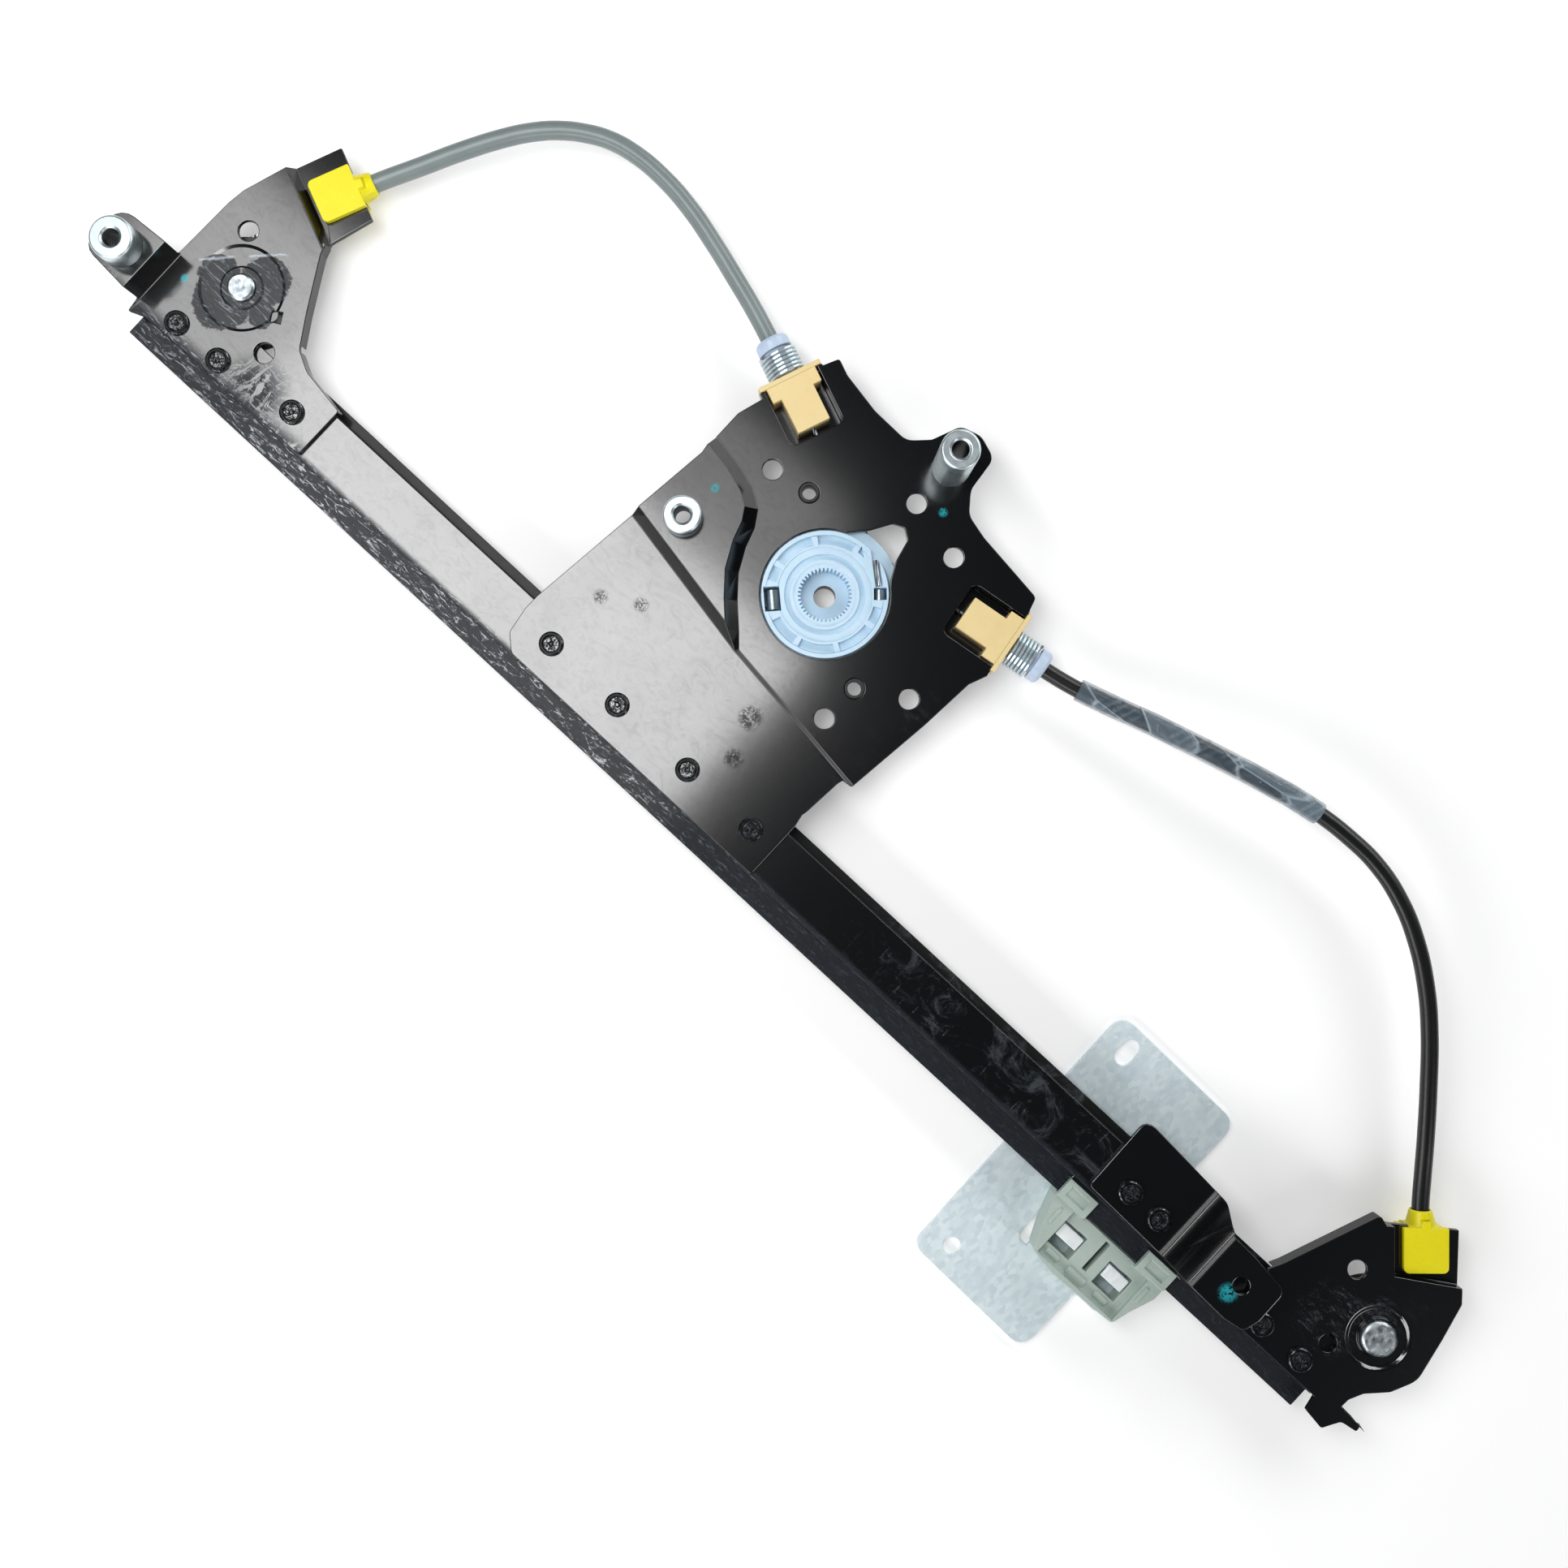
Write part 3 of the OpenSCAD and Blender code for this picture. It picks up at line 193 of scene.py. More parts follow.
def make_conduit(name, route, radius, cad_node):
    """One conduit as a cord that takes the place of its CAD node."""
    conduit = curve_through(name, route, radius)
    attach(conduit, "frame")
    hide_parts(cad_node)
    [c * mm for c in route[0]]
    return conduit


# Materials: one wrapper for a number or colour socket, one for a material's node tree


class Value:
    """A socket that Python arithmetic can be done on. Each operation adds a node."""

    def __init__(self, finish, socket):
        self.finish = finish
        self.socket = socket

    def _math(self, operation, *inputs):
        return self.finish.add("ShaderNodeMath", {"operation": operation}, inputs)

    def __add__(self, other):
        return self._math("ADD", self, other)

    __radd__ = __add__

    def __mul__(self, other):
        return self._math("MULTIPLY", self, other)

    __rmul__ = __mul__

    def __sub__(self, other):
        return self._math("SUBTRACT", self, other)

    def __rsub__(self, other):
        return self._math("SUBTRACT", other, self)

    def above(self, low, high):
        """0 below low and 1 above high, with a soft step between. When high is the lower
        number, it is 1 below high and 0 above low."""
        return self.finish.add(
            "ShaderNodeMapRange",
            {"interpolation_type": "SMOOTHSTEP", "clamp": True},
            {"Value": self, "From Min": low, "From Max": high},
        )

    def most(self, other):
        return self._math("MAXIMUM", self, other)

    def least(self, other):
        return self._math("MINIMUM", self, other)

    def bent(self):
        return self._math("ABSOLUTE", self)

    def wave(self):
        return self._math("SINE", self)


# Sockets of the Mix node that hold colours, by number because their names repeat

MIX_FACTOR = 0
MIX_LOW = 6
MIX_HIGH = 7
MIX_RESULT = 2


class Finish:
    """One material, with the calls that add nodes to it."""

    def __init__(self, name, **surface):
        self.material = bpy.data.materials.new(name)
        self.material.use_nodes = True
        self.tree = self.material.node_tree
        self.shader = self.tree.nodes["Principled BSDF"]
        for socket, value in surface.items():
            self.shader.inputs[socket.replace("_", " ")].default_value = value
        self.here = self.add("ShaderNodeTexCoord", {}, {}, "Object")

    def add(self, kind, settings, inputs, output=0):
        """Adds one node. Its settings are set first, then its sockets' values or links."""
        made = self.tree.nodes.new(kind)
        for key, value in settings.items():
            setattr(made, key, value)
        pairs = inputs.items() if isinstance(inputs, dict) else enumerate(inputs)
        for key, value in pairs:
            if isinstance(value, Value):
                self.tree.links.new(value.socket, made.inputs[key])
            else:
                made.inputs[key].default_value = value
        return Value(self, made.outputs[output])

    def mapped(self, centre=(0, 0, 0), turn=0, stretch=(1, 1, 1)):
        """Coordinates about a centre in millimetres, stretched, then turned by degrees about Z."""
        moved = self.add(
            "ShaderNodeVectorMath",
            {"operation": "SUBTRACT"},
            (self.here, tuple(c * mm for c in centre)),
        )
        return self.add(
            "ShaderNodeMapping",
            {"vector_type": "POINT"},
            {
                "Vector": moved,
                "Rotation": (0, 0, math.radians(-turn)),
                "Scale": stretch,
            },
        )

    def noise(self, size, detail=2, rough=0.5, where=None, warp=0):
        """Cloudy noise whose blobs are about size millimetres across, from 0 to 1."""
        return self.add(
            "ShaderNodeTexNoise",
            {"noise_dimensions": "3D"},
            {
                "Vector": where or self.here,
                "Scale": 1 / (size * mm),
                "Detail": detail,
                "Roughness": rough,
                "Distortion": warp,
            },
        )

    def cells(self, size, feature="F1", where=None, output="Distance"):
        """Cells of about size millimetres: distance to the nearest point, or another output."""
        return self.add(
            "ShaderNodeTexVoronoi",
            {"feature": feature},
            {"Vector": where or self.here, "Scale": 1 / (size * mm)},
            output,
        )

    def part(self, axis, where=None):
        """One coordinate in millimetres."""
        split = self.add(
            "ShaderNodeSeparateXYZ", {}, {"Vector": where or self.here}, axis
        )
        return split * 1000

    def near(self, centre, radius, soft=0.3):
        """1 round a point and 0 far from it. It fades at radius millimetres, over the soft share
        of that to each side."""
        distance = self.add(
            "ShaderNodeVectorMath",
            {"operation": "DISTANCE"},
            (self.here, tuple(c * mm for c in centre)),
            "Value",
        )
        return (distance * 1000).above(radius * (1 + soft), radius * (1 - soft))

    def mix(self, factor, low, high):
        """Colour between low, where the factor is 0, and high, where it is 1."""
        return self.add(
            "ShaderNodeMix",
            {"data_type": "RGBA"},
            {MIX_FACTOR: factor, MIX_LOW: low, MIX_HIGH: high},
            MIX_RESULT,
        )

    def feed(self, socket, value):
        """Links a value to one socket of the surface."""
        self.tree.links.new(value.socket, self.shader.inputs[socket])

    def relief(self, height, depth):
        """Bumps the surface: height from 0 to 1 stands for depth millimetres."""
        normal = self.add(
            "ShaderNodeBump", {}, {"Height": height, "Distance": depth * mm}
        )
        self.feed("Normal", normal)


def colour(red, green, blue):
    """Screen colour from 0 to 255 as Blender's linear colour."""
    linear = [
        c / 255 / 12.92 if c <= 10 else ((c / 255 + 0.055) / 1.055) ** 2.4
        for c in (red, green, blue)
    ]
    return (*linear, 1)


# Colours that several paints share

PAINT_BLACK = colour(9, 11, 13)
PAINT_WORN = colour(30, 34, 38)
GREASE = colour(22, 27, 34)
DUST = colour(84, 90, 96)
TEAL_DAB = colour(40, 150, 160)

# Places in millimetres. Each soft step is where it is nothing and where it is full, and each
# fold is its place along X with the side that it rounds to.

FLANGE_STEP_Y = (-81, -83.2)
UPPER_EDGE_Y = (-77, -83)
LIP_Y = (-65.5, -65.1)
RUBBED_WEB_X = (68, 115)
# Where the painted glint on the grease fades: full below the second number, a quarter above the
# first.
PAINTED_GLINT_FADE_X = (120, -20)
MOUNT_FOLDS = ((225.4, 1), (232.4, -1))
FOLD_REACH = 3.5

# Each nut's thread: centre and radius

NUT_BORES = ((-236.6, -71.4, 2.6), (-49.5, -13.5, 2.6), (2.2, 57.9, 2.6))

# Tabs of the lift plate, bent up behind the windows of the shoe

TAB_X = (201.2, 221.3)
TAB_WIDTH = 8.6


def black_paint(
    name, grease=None, scuffs=(), dabs=(), wiped=None, dusty=None, dull=None, folds=()
):
    """Black dip paint on pressed steel. An oily film on the faces that look up mirrors the light,
    less where it is greased or scuffed; the side walls are kept from mirroring as painted shade.
    Shiny grease strands get a painted glint and wiped strokes a painted highlight in the base
    colour.
    Grease, wiped, dusty and dull are functions that give masks, and scuffs and dabs are centres
    and radii."""
    paint = Finish(
        name,
        IOR=1.5,
        Specular_IOR_Level=0.3,
        Coat_Roughness=0.13,
        Coat_IOR=1.8,
    )
    up = paint.add("ShaderNodeTexCoord", {}, {}, "Normal")
    # Painted shade: the coat only goes on faces that look up, so the side walls mirror nothing and
    # stay dark.
    facing = paint.add("ShaderNodeSeparateXYZ", {}, {"Vector": up}, "Z").above(0.3, 0.95)
    peel = paint.noise(2.4, 3)
    drift = paint.noise(34, 3, 0.6)
    rub = paint.noise(7, 5, 0.7, paint.mapped(turn=35, stretch=(1, 4, 1)), 0.6)
    hairline = paint.noise(0.9, 2, 0.6, paint.mapped(turn=58, stretch=(1, 0.06, 1)))
    worn = (rub * drift).above(0.32, 0.5)
    tone = paint.mix(worn * 0.5, PAINT_BLACK, PAINT_WORN)
    smudge = paint.noise(4, 6, 0.8, paint.mapped(turn=15, stretch=(0.6, 1, 1)), 1.6)
    rough = 0.14 + 0.1 * worn + 0.08 * smudge
    film = 0.76 + 0.4 * drift - 0.15 * worn - 0.14 * smudge.above(0.45, 0.66)
    height = 0.7 * peel + 0.2 * hairline + 0.5 * drift + 0.2 * smudge
    for centre, radius in scuffs:
        chips = paint.noise(1.7, 4, 0.8, warp=1.5).above(0.47, 0.54)
        scuff = paint.near(centre, radius, 0.45) * chips
        tone = paint.mix(scuff, tone, colour(5, 5, 6))
        film = film - 0.9 * scuff
        height = height - 0.8 * scuff
    for place, side in folds:
        reach = (FOLD_REACH - (paint.part("X") - place).bent()).most(0)
        height = height + side * 4 * reach * reach
    # Painted shade: where the dull mask is full, the gloss is turned down and the surface
    # roughened so that it stays dark.
    if dull:
        shade = dull(paint)
        film = film * (1 - 0.9 * shade)
        rough = rough + 0.5 * shade
    if dusty:
        dust = dusty(paint)
        tone = paint.mix(dust, tone, DUST)
        film = film - 0.5 * dust
        height = height + 2 * dust
    if wiped:
        strokes, patch = wiped(paint)
        tone = paint.mix(patch * 0.5, tone, PAINT_WORN)
        # Painted highlight: smeared strokes are painted pale blue-grey as grease catching the
        # light; the long scratches drawn with them are marks in the paint.
        tone = paint.mix(strokes * 0.7, tone, colour(126, 138, 150))
        film = film * (1 - 0.85 * patch) + 0.3 * strokes
        rough = rough + 0.3 * patch - 0.2 * strokes
        height = height + 3 * strokes
    if grease:
        smear = grease(paint)
        lumps = paint.noise(1.6, 3, 0.7, paint.mapped(stretch=(0.55, 1, 1)), 1.2)
        strings = paint.noise(1.1, 4, 0.75, paint.mapped(turn=8, stretch=(0.24, 1, 1)), 0.9)
        # Painted glint: the shiny grease strands are also painted pale blue-grey in the base
        # colour, fully towards the rail's upper end and a quarter as much towards its lower end.
        painted_glint_fade = paint.part("X").above(*PAINTED_GLINT_FADE_X) * 0.75 + 0.25
        strand_gloss_and_painted_glint = strings.above(0.54, 0.65) * painted_glint_fade
        tone = paint.mix(smear, tone, paint.mix(strand_gloss_and_painted_glint, GREASE, colour(78, 88, 100)))
        film = film * (1 - smear * (0.93 - 0.9 * strand_gloss_and_painted_glint))
        rough = rough + smear * (0.35 - 0.3 * strand_gloss_and_painted_glint)
        height = height + smear * (7 * lumps + 5 * strings)
    for centre, radius in dabs:
        ragged = paint.noise(1.4, 3, 0.7).above(0.42, 0.5)
        dab = paint.near(centre, radius, 0.5) * ragged
        tone = paint.mix(dab, tone, TEAL_DAB)
        film = film - 0.8 * dab
    paint.feed("Base Color", tone)
    paint.feed("Roughness", rough)
    paint.feed("Coat Weight", facing * film.most(0.03).least(1))
    paint.relief(height, 0.03)
    return paint.material


def rivet_paint(name):
    """Clinch rivet: black ring, and a crushed floor and boss whose facets catch the light, also as
    a painted glint in the base colour. The heights in millimetres tell the floor and the boss from
    the ring."""
    rivet = Finish(name, Specular_IOR_Level=0.12, Coat_Roughness=0.12, Coat_IOR=1.9)
    height = rivet.part("Z")
    sunk = height.above(1.2, 1.8) * height.above(2.66, 2.5)
    tip = height.above(2.7, 2.85) * height.above(3.02, 2.94)
    facets = rivet.noise(1.1, 4, 0.75, warp=1.4)
    glint = (sunk + tip).least(1) * facets.above(0.5, 0.58)
    # Painted glint: besides the coat, the glinting facets are painted mid grey in the base colour.
    rivet.feed("Base Color", rivet.mix(glint, PAINT_BLACK, colour(70, 76, 82)))
    rivet.feed("Roughness", 0.34 - 0.1 * facets)
    rivet.feed("Coat Weight", 0.03 + 0.95 * glint)
    rivet.relief(facets * (0.3 + 1.4 * sunk), 0.12)
    return rivet.material


def rail_grease(paint):
    """Grease on the outer flange and its step."""
    across = paint.part("Y")
    return across.above(*FLANGE_STEP_Y) * paint.noise(6, 4, 0.8, warp=1).above(0.26, 0.4)


def rail_lip(paint):
    """The lip below the web's inner side, which the light doesn't reach: its gloss is turned down
    and its surface roughened there as painted shade.
    """
    return paint.part("Y").above(*LIP_Y)


def rail_dust(paint):
    """Dull dusty rubs on the web's lower half, with fine scratches."""
    along = paint.part("X").above(*RUBBED_WEB_X)
    patches = paint.noise(10, 6, 0.78, paint.mapped(turn=30, stretch=(0.6, 1, 1)), 1.2)
    lines = paint.noise(1, 2, 0.6, paint.mapped(turn=75, stretch=(1, 0.07, 1)))
    scratches = 0.4 * lines.above(0.64, 0.7) * patches.above(0.42, 0.55)
    rubs = patches.above(0.5, 0.68) * (0.3 + 0.5 * paint.noise(1.6, 4, 0.8))
    return along * (rubs + scratches).least(0.6)


def upper_grease(paint):
    """Smears of grease along the rail side and beside the rivets."""
    wipe = paint.noise(5, 5, 0.75, paint.mapped(turn=70, stretch=(1, 0.4, 1)), 1.6)
    edge = paint.part("Y").above(*UPPER_EDGE_Y) * wipe.above(0.34, 0.46)
    rivet = paint.near((-180, -78, 0), 10, 0.5) * wipe.above(0.44, 0.5)
    return edge.most(rivet)


def scratch_line(paint, centre, turn, length, width):
    """One long ragged scratch: 1 on it and 0 beside it."""
    place = paint.mapped(centre, turn)
    ragged = paint.noise(2.6, 4, 0.7)
    across = (paint.part("Y", place) + 1.6 * (ragged - 0.5)).bent()
    along = paint.part("X", place).bent()
    return across.above(width, width * 0.3) * along.above(length / 2, length / 2 - 1.5)


def upper_wiped(paint):
    """Dark oily patch round the upper pin, with smeared strokes, painted pale as a painted
    highlight, and two long scratches: the strokes, and the patch that they lie in."""
    ragged = paint.noise(6, 5, 0.72, warp=1.4)
    reach = paint.near((-207, -63, 1.8), 9.5, 0.4)
    for centre, radius in (
        ((-214, -57, 1.8), 6.5),
        ((-201, -48.5, 1.8), 8),
        ((-195, -57.5, 1.8), 4.5),
    ):
        reach = reach.most(paint.near(centre, radius, 0.4))
    patch = (reach + 1.3 * (ragged - 0.5)).above(0.4, 0.55)
    down = paint.noise(1.5, 4, 0.78, paint.mapped(turn=-10, stretch=(0.16, 1, 1)), 0.8)
    level = paint.noise(1.4, 4, 0.78, paint.mapped(turn=-62, stretch=(0.2, 1, 1)), 1.2)
    strokes = patch * down.above(0.54, 0.64).most(level.above(0.58, 0.66))
    first = scratch_line(paint, (-218.1, -54, 0), 48, 13, 0.7)
    second = scratch_line(paint, (-206.5, -42, 0), 45, 14, 0.6)
    return (strokes * 0.8).most(first.most(second)), patch


def lower_wiped(paint):
    """Dull smears beside the lower rivets and a little grease round the pin, with pale strokes in
    them that are a painted highlight: the strokes, and the patch that they lie in."""
    wipe = paint.noise(4, 6, 0.8, paint.mapped(turn=40, stretch=(0.5, 1, 1)), 1.6)
    thin = paint.noise(1.1, 4, 0.8, paint.mapped(turn=40, stretch=(0.3, 1, 1)), 1)
    beside = paint.near((279, -61, 0), 9.5, 0.6) * wipe.above(0.46, 0.62)
    pin = paint.near((290, -51, 0), 6, 0.5) * wipe.above(0.44, 0.56)
    patch = beside.most(pin)
    return patch * thin.above(0.5, 0.66) * 0.6, patch * 0.5


def galvanised(name, tone, deep):
    """Zinc plated sheet: faint pale crystals and short white scratches."""
    zinc = Finish(name, Metallic=0.18, Specular_IOR_Level=0.6)
    slant = zinc.mapped(turn=30, stretch=(1, 0.6, 1))
    crystals = zinc.cells(1.5, output="Color", where=slant)
    shade = zinc.add("ShaderNodeSeparateColor", {}, {"Color": crystals}, "Red")
    cloud = zinc.noise(4, 5, 0.75)
    fine = zinc.noise(0.5, 3, 0.7)
    grain = zinc.noise(0.8, 2, 0.6, zinc.mapped(turn=-20, stretch=(1, 0.2, 1)))
    scratch = grain.above(0.69, 0.73) * cloud.above(0.45, 0.55)
    mottled = zinc.mix(0.5 * shade + 0.5 * cloud, deep, tone)
    zinc.feed("Base Color", zinc.mix(scratch, mottled, colour(246, 250, 252)))
    zinc.feed("Roughness", 0.42 + 0.1 * shade - 0.1 * cloud + 0.06 * fine)
    zinc.relief(fine + 0.6 * shade, 0.01)
    return zinc.material


# Radians of thread per millimetre, for a pitch of 1 mm

THREAD_TURNS = 6.283


def bright_zinc(name, tone=colour(222, 234, 238), bores=()):
    """Bright zinc of the turned nuts and springs, with turning marks. Bores are threaded, and
    their thread is painted dark with lighter crests as painted shade."""
    zinc = Finish(name, Metallic=1.0)
    cloud = zinc.noise(3, 4, 0.6)
    rings = zinc.noise(0.25, 2, 0.6, zinc.mapped(stretch=(0.05, 0.05, 1)))
    tone = zinc.mix(cloud, colour(176, 188, 194), tone)
    height = 0.5 * rings + cloud
    for x, y, radius in bores:
        across = zinc.mapped((x, y, 0), stretch=(1, 1, 0))
        length = zinc.add("ShaderNodeVectorMath", {"operation": "LENGTH"}, (across,), "Value")
        inside = (length * 1000).above(radius + 0.35, radius + 0.1)
        thread = (zinc.part("Z") * THREAD_TURNS).wave() * 0.5 + 0.5
        # Painted shade: the bore is painted near black, with lighter thread crests, to stand for
        # the shade inside it.
        oily = zinc.mix(thread, colour(12, 13, 14), colour(70, 76, 78))
        tone = zinc.mix(inside, tone, oily)
        height = height + 12 * inside * thread
    zinc.feed("Base Color", tone)
    zinc.feed("Roughness", 0.24 + 0.2 * cloud + 0.08 * rings)
    zinc.relief(height, 0.02)
    return zinc.material


def hammered_pin(name):
    """Pin head flattened by the riveting tool: zinc with small dents."""
    pin = Finish(name, Metallic=1.0)
    dents = pin.cells(2.2, "SMOOTH_F1")
    cloud = pin.noise(2.5, 5, 0.7)
    tone = pin.mix(cloud.above(0.3, 0.7), colour(120, 128, 134), colour(214, 222, 226))
    pin.feed("Base Color", tone)
    pin.feed("Roughness", 0.26 + 0.25 * cloud)
    pin.relief(dents + 0.4 * cloud, 0.16)
    return pin.material


def moulded(name, tone, deep, rough=0.38, grain=0.02, subsurface=0.0):
    """Moulded plastic: even colour with slow drift, faint flow lines and a fine mould grain."""
    plastic = Finish(
        name,
        Subsurface_Weight=subsurface,
        Subsurface_Scale=2 * mm,
        Specular_IOR_Level=0.5,
    )
    drift = plastic.noise(9, 3, 0.6)
    flow = plastic.noise(3, 4, 0.65, plastic.mapped(turn=25, stretch=(1, 2.5, 1)), 0.8)
    pits = plastic.noise(0.35, 3, 0.7)
    plastic.feed("Base Color", plastic.mix(0.6 * drift + 0.4 * flow, deep, tone))
    plastic.feed("Roughness", rough + 0.12 * flow - 0.06 * pits)
    plastic.relief(pits + flow, grain)
    return plastic.material


def rubbery(name, tone, deep, rough):
    """Extruded conduit jacket: slow drift of its tone, fine specks and slight dulling."""
    jacket = Finish(name, Specular_IOR_Level=0.5)
    drift = jacket.noise(12, 4, 0.6)
    specks = jacket.noise(0.6, 3, 0.7)
    jacket.feed("Base Color", jacket.mix(drift, deep, tone))
    jacket.feed("Roughness", rough + 0.16 * specks - 0.06 * drift)
    jacket.relief(specks + 0.7 * drift, 0.02)
    return jacket.material


def stranded(name):
    """Steel cable: bright strands laid round it, as bumps and dark lines between them."""
    steel = Finish(name, Metallic=1.0)
    lay = (steel.part("X") * 3.1 + steel.part("Y") * 3.1 + steel.part("Z") * 2.2).wave()
    grooves = lay.above(-1, 0.2)
    steel.feed("Base Color", steel.mix(grooves, colour(60, 62, 64), colour(190, 196, 200)))
    steel.feed("Roughness", 0.5 - 0.2 * grooves)
    steel.relief(grooves, 0.12)
    return steel.material


def clear_film(name):
    """Thin clear sleeve: flat facets between a few sharp creases across it, fine pleats. Each
    facet has its own painted reflection tone, the creases and pleats a painted highlight, and
    there are scattered painted glints.
    """
    film = Finish(name, IOR=1.45, Roughness=0.12, Specular_IOR_Level=0.6)
    slant = film.mapped((130, 48, 0), 72, (0.55, 1.5, 1))
    facets = film.cells(13, output="Color", where=slant)
    shade = film.add("ShaderNodeSeparateColor", {}, {"Color": facets}, "Green")
    edge = film.cells(13, "DISTANCE_TO_EDGE", slant)
    crease = edge.above(0.045, 0.0)
    gathered = film.noise(14, 2).above(0.5, 0.6)
    pleats = (film.part("X") * 2.2 - film.part("Y") * 0.7).wave() * gathered
    crumple = film.noise(5, 4, 0.7, slant, 1.2)
    painted_glints = crumple.above(0.66, 0.72)
    # Painted reflection: facets are painted lighter or darker and more or less opaque one by one,
    # creases and pleats are whitened as a painted highlight, and glints are painted near white.
    tone = film.mix(0.6 * shade + 0.4 * crumple, colour(62, 78, 90), colour(136, 154, 166))
    white = (crease * 0.6 + 0.25 * pleats.most(0)).least(1)
    tone = film.mix(white, tone, colour(190, 206, 216))
    film.feed("Base Color", film.mix(painted_glints, tone, colour(235, 244, 250)))
    film.feed("Alpha", 0.34 + 0.22 * shade + 0.25 * crease + 0.3 * painted_glints)
    film.relief(shade + 0.8 * crumple + 0.2 * pleats, 0.7)
    return film.material


# Pieces of the CAD frame, which keep their shape and get a finish with softly broken edges

WELD_GAP = 0.002
SHARP_ANGLE = math.radians(34)
SMOOTH_ANGLE = math.radians(40)


def soften(piece, width):
    """Joins a node's loose triangles and rounds its sharp edges by width millimetres."""
    weld = piece.modifiers.new("join", "WELD")
    weld.merge_threshold = WELD_GAP * mm
    edge = piece.modifiers.new("edges", "BEVEL")
    edge.width = width * mm
    edge.segments = 2
    edge.limit_method = "ANGLE"
    edge.angle_limit = SHARP_ANGLE
    edge.use_clamp_overlap = False
    edge.loop_slide = False
    edge.harden_normals = True


def blocks(name, body, pieces, rounding, material):
    """Small rounded blocks in one new mesh on a body. Each is its centre and its size in
    millimetres."""
    bpy.ops.object.select_all(action="DESELECT")
    centre, size = pieces[0]
    bpy.ops.mesh.primitive_cube_add(size=mm, location=[c * mm for c in centre], scale=size)
    piece = bpy.context.object
    piece.name = name
    bpy.ops.object.transform_apply(location=True, rotation=True, scale=True)
    bpy.ops.object.mode_set(mode="EDIT")
    for centre, size in pieces[1:]:
        bpy.ops.mesh.primitive_cube_add(size=mm, location=[c * mm for c in centre], scale=size)
    bpy.ops.object.mode_set(mode="OBJECT")
    edge = piece.modifiers.new("edges", "BEVEL")
    edge.width = rounding * mm
    edge.segments = 3
    bpy.ops.object.modifier_apply(modifier="edges")
    bpy.ops.object.shade_smooth_by_angle(angle=SMOOTH_ANGLE)
    piece.data.materials.append(material)
    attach(piece, body)


def dress(names, material, edge=0.2):
    """Gives nodes a material. Edge is the rounding of their edges in millimetres, or 0."""
    for name in names.split():
        piece = node[name]
        piece.data.materials.clear()
        piece.data.materials.append(material)
        if edge:
            soften(piece, edge)


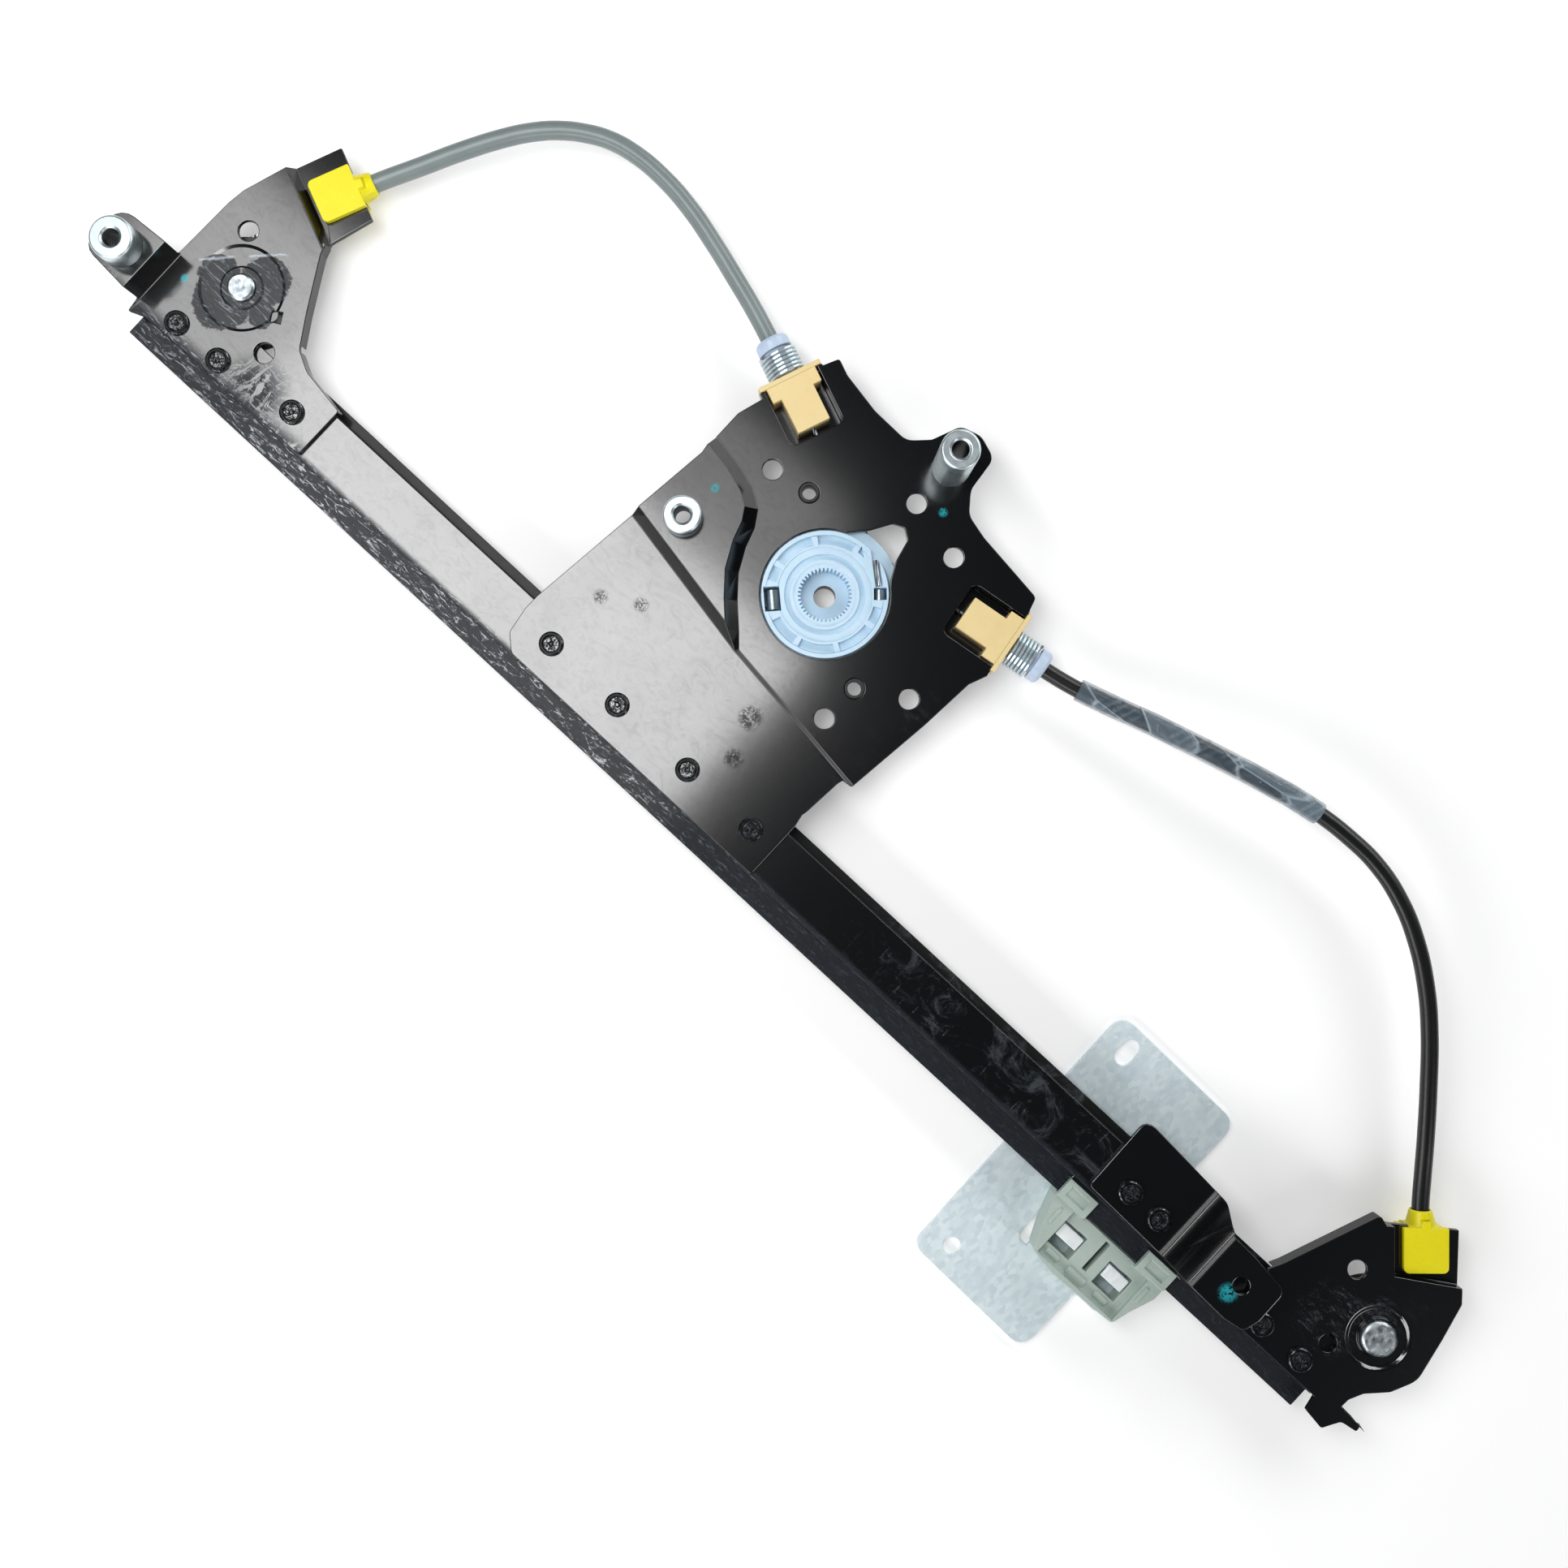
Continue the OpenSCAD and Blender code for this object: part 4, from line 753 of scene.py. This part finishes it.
def dress_nodes():
    dress(
        "guide_rail",
        black_paint("rail_paint", rail_grease, dusty=rail_dust, dull=rail_lip),
        0.25,
    )
    dress(
        "upper_bracket",
        black_paint(
            "upper_bracket_paint",
            upper_grease,
            dabs=[((-220.9, -65.6, 1.8), 1.3)],
            wiped=upper_wiped,
        ),
        0.3,
    )
    dress("lower_bracket", black_paint("lower_bracket_paint", wiped=lower_wiped), 0.3)
    dress(
        "motor_plate",
        black_paint(
            "motor_plate_paint",
            scuffs=[
                ((-52.6, -50, 1.8), 2.2),
                ((-41.2, -43, 1.8), 2.2),
                ((9.7, -45.9, 1.8), 3.6),
                ((14.8, -59.1, 1.8), 3),
            ],
            dabs=[((-48.6, 0.4, 6.3), 1.3), ((10.1, 45.5, 0), 1.3)],
        ),
        0.3,
    )
    dress(
        "lower_mount_bracket",
        black_paint(
            "mount_bracket_paint",
            dabs=[((243.7, -77, 13.8), 2.6)],
            folds=MOUNT_FOLDS,
        ),
        0.4,
    )
    dress(
        "upper_bracket_rivets motor_plate_rivets mount_bracket_rivets lower_bracket_rivets",
        rivet_paint("rivet_paint"),
        0.12,
    )
    dress(
        "upper_mount_nut middle_mount_nut outer_mount_nut",
        bright_zinc("nut_zinc", colour(232, 244, 247), NUT_BORES),
        0.2,
    )
    dress("upper_pulley_pin lower_pulley_pin", hammered_pin("pin_head"), 0.3)
    dress(
        "shoe_cable_nipples drum_cable_nipples",
        bright_zinc("nipple_metal", colour(150, 152, 150)),
        0,
    )
    dress(
        "upper_pulley lower_pulley",
        moulded("pulley_nylon", colour(60, 62, 64), colour(40, 42, 44)),
    )
    dress(
        "upper_conduit_end lower_conduit_end",
        moulded("yellow_acetal", colour(250, 238, 10), colour(224, 210, 2), 0.32, 0.015, 0.1),
        0.3,
    )
    dress(
        "upper_outlet_block lower_outlet_block",
        moulded("beige_nylon", colour(240, 218, 164), colour(222, 198, 138), 0.42, 0.02, 0.15),
        0.25,
    )
    dress(
        "upper_conduit_cap lower_conduit_cap",
        moulded("pale_cap_nylon", colour(206, 220, 238), colour(176, 196, 220), 0.34, 0.02, 0.3),
        0.2,
    )
    dress(
        "cable_drum",
        moulded("drum_nylon", colour(212, 234, 248), colour(176, 208, 230), 0.3, 0.02, 0.3),
        0.15,
    )
    dress("drum_housing", moulded("housing_nylon", colour(32, 34, 36), colour(20, 21, 22)))
    shoe = moulded("shoe_nylon", colour(190, 204, 196), colour(160, 176, 168), 0.36, 0.02, 0.15)
    dress("slider_shoe", shoe, 0.25)
    blocks(
        "shoe_pads",
        "carrier",
        [
            ((211.3, -107.8, -4.4), (7.6, 2.6, 0.9)),
            ((201, -107.6, -4.4), (5.4, 2, 0.7)),
            ((222, -107.6, -4.4), (5.4, 2, 0.7)),
            ((192.2, -97.4, -2.1), (1.3, 6, 0.8)),
            ((230.6, -97.4, -2.1), (1.3, 6, 0.8)),
        ],
        0.3,
        shoe,
    )
    bent = galvanised("tab_zinc", colour(252, 254, 254), colour(232, 240, 242))
    blocks(
        "bent_tabs",
        "carrier",
        [((x, -99.6, -5), (TAB_WIDTH, 4.6, 1.2)) for x in TAB_X],
        0.35,
        bent,
    )
    dress(
        "lift_plate",
        galvanised("lift_plate_zinc", colour(240, 251, 253), colour(204, 222, 230)),
        0.2,
    )
    dress("upper_cable lower_cable drum_cable_turns", stranded("cable_strands"), 0)
    dress("upper_tension_spring lower_tension_spring", bright_zinc("spring_zinc"), 0)
    dress("conduit_film", clear_film("sleeve_film"), 0)


# Studio: pale floor, soft boxes, dim surroundings. Each soft box is its name, its place, its
# size, its watts and the point that it faces. The windows hang as high as the camera, where
# flat faces mirror them. The other boxes stand to the sides and light walls and edges.

SOFT_BOXES = [
    ("window", (-200, -85, 500), (380, 200), 1.62, (-200, -85, 0)),
    ("window_far", (-450, -65, 500), (130, 150), 0.24, (-450, -65, 0)),
    ("window_edge", (-125, 60, 500), (150, 90), 0.07, (-125, 60, 0)),
    ("motor_side", (60, 760, 420), (1000, 300), 4.9, (60, 0, 0)),
    ("flange_side", (60, -780, 420), (1000, 300), 4.9, (80, -60, 0)),
    ("lower_end", (1000, -60, 420), (300, 600), 2.2, (250, -40, 0)),
]
FLOOR_SIZE = 6
FLOOR_GAP = 0.2 * mm
FLOOR_GLOW = 0.25
ROOM_COLOUR = (0.9, 0.95, 1, 1)
ROOM_STRENGTH = 0.035


def soft_box(name, place, size, watts, aim):
    bpy.ops.object.light_add(type="AREA", location=[c * mm for c in place])
    box = bpy.context.object
    box.name = name
    box.data.shape = "RECTANGLE"
    box.data.size = size[0] * mm
    box.data.size_y = size[1] * mm
    box.data.energy = watts
    direction = Vector(aim) * mm - box.location
    box.rotation_euler = direction.to_track_quat("-Z", "Y").to_euler()


def build_studio():
    """Dim room, soft boxes and a floor that glows faintly, so that the camera sees it white."""
    lowest = min(corner[2] for corner in cad_box)
    bpy.ops.mesh.primitive_plane_add(
        size=FLOOR_SIZE, location=(*CAMERA_OVER, lowest - FLOOR_GAP)
    )
    floor = bpy.context.object
    floor.name = "floor"
    bpy.ops.object.transform_apply(location=True, rotation=True, scale=True)
    white = Finish("pale_floor", Roughness=0.9, Specular_IOR_Level=0.1)
    cloud = white.noise(60, 3)
    white.feed("Base Color", white.mix(cloud, colour(238, 238, 238), colour(243, 243, 243)))
    rays = white.add("ShaderNodeLightPath", {}, {}, "Is Camera Ray")
    glossy = white.add("ShaderNodeLightPath", {}, {}, "Is Glossy Ray")
    through = white.add("ShaderNodeLightPath", {}, {}, "Is Transmission Ray")
    white.shader.inputs["Emission Color"].default_value = (1, 1, 1, 1)
    white.feed("Emission Strength", (rays + glossy + through).least(1) * FLOOR_GLOW)
    floor.data.materials.append(white.material)

    world = bpy.data.worlds.new("studio")
    world.use_nodes = True
    world.node_tree.nodes["Background"].inputs["Color"].default_value = ROOM_COLOUR
    world.node_tree.nodes["Background"].inputs["Strength"].default_value = ROOM_STRENGTH
    bpy.context.scene.world = world

    for box in SOFT_BOXES:
        soft_box(*box)


set_camera()
upper_conduit = make_conduit("grey_conduit", UPPER_ROUTE, UPPER_CONDUIT_R, "upper_conduit")
lower_conduit = make_conduit("black_conduit", LOWER_ROUTE, LOWER_CONDUIT_R, "lower_conduit")
upper_conduit.data.materials.append(
    rubbery("grey_jacket", colour(132, 143, 142), colour(110, 121, 121), 0.26)
)
lower_conduit.data.materials.append(
    rubbery("black_jacket", colour(22, 23, 24), colour(10, 11, 12), 0.3)
)
dress_nodes()
build_studio()

bpy.context.scene.view_settings.view_transform = "Standard"
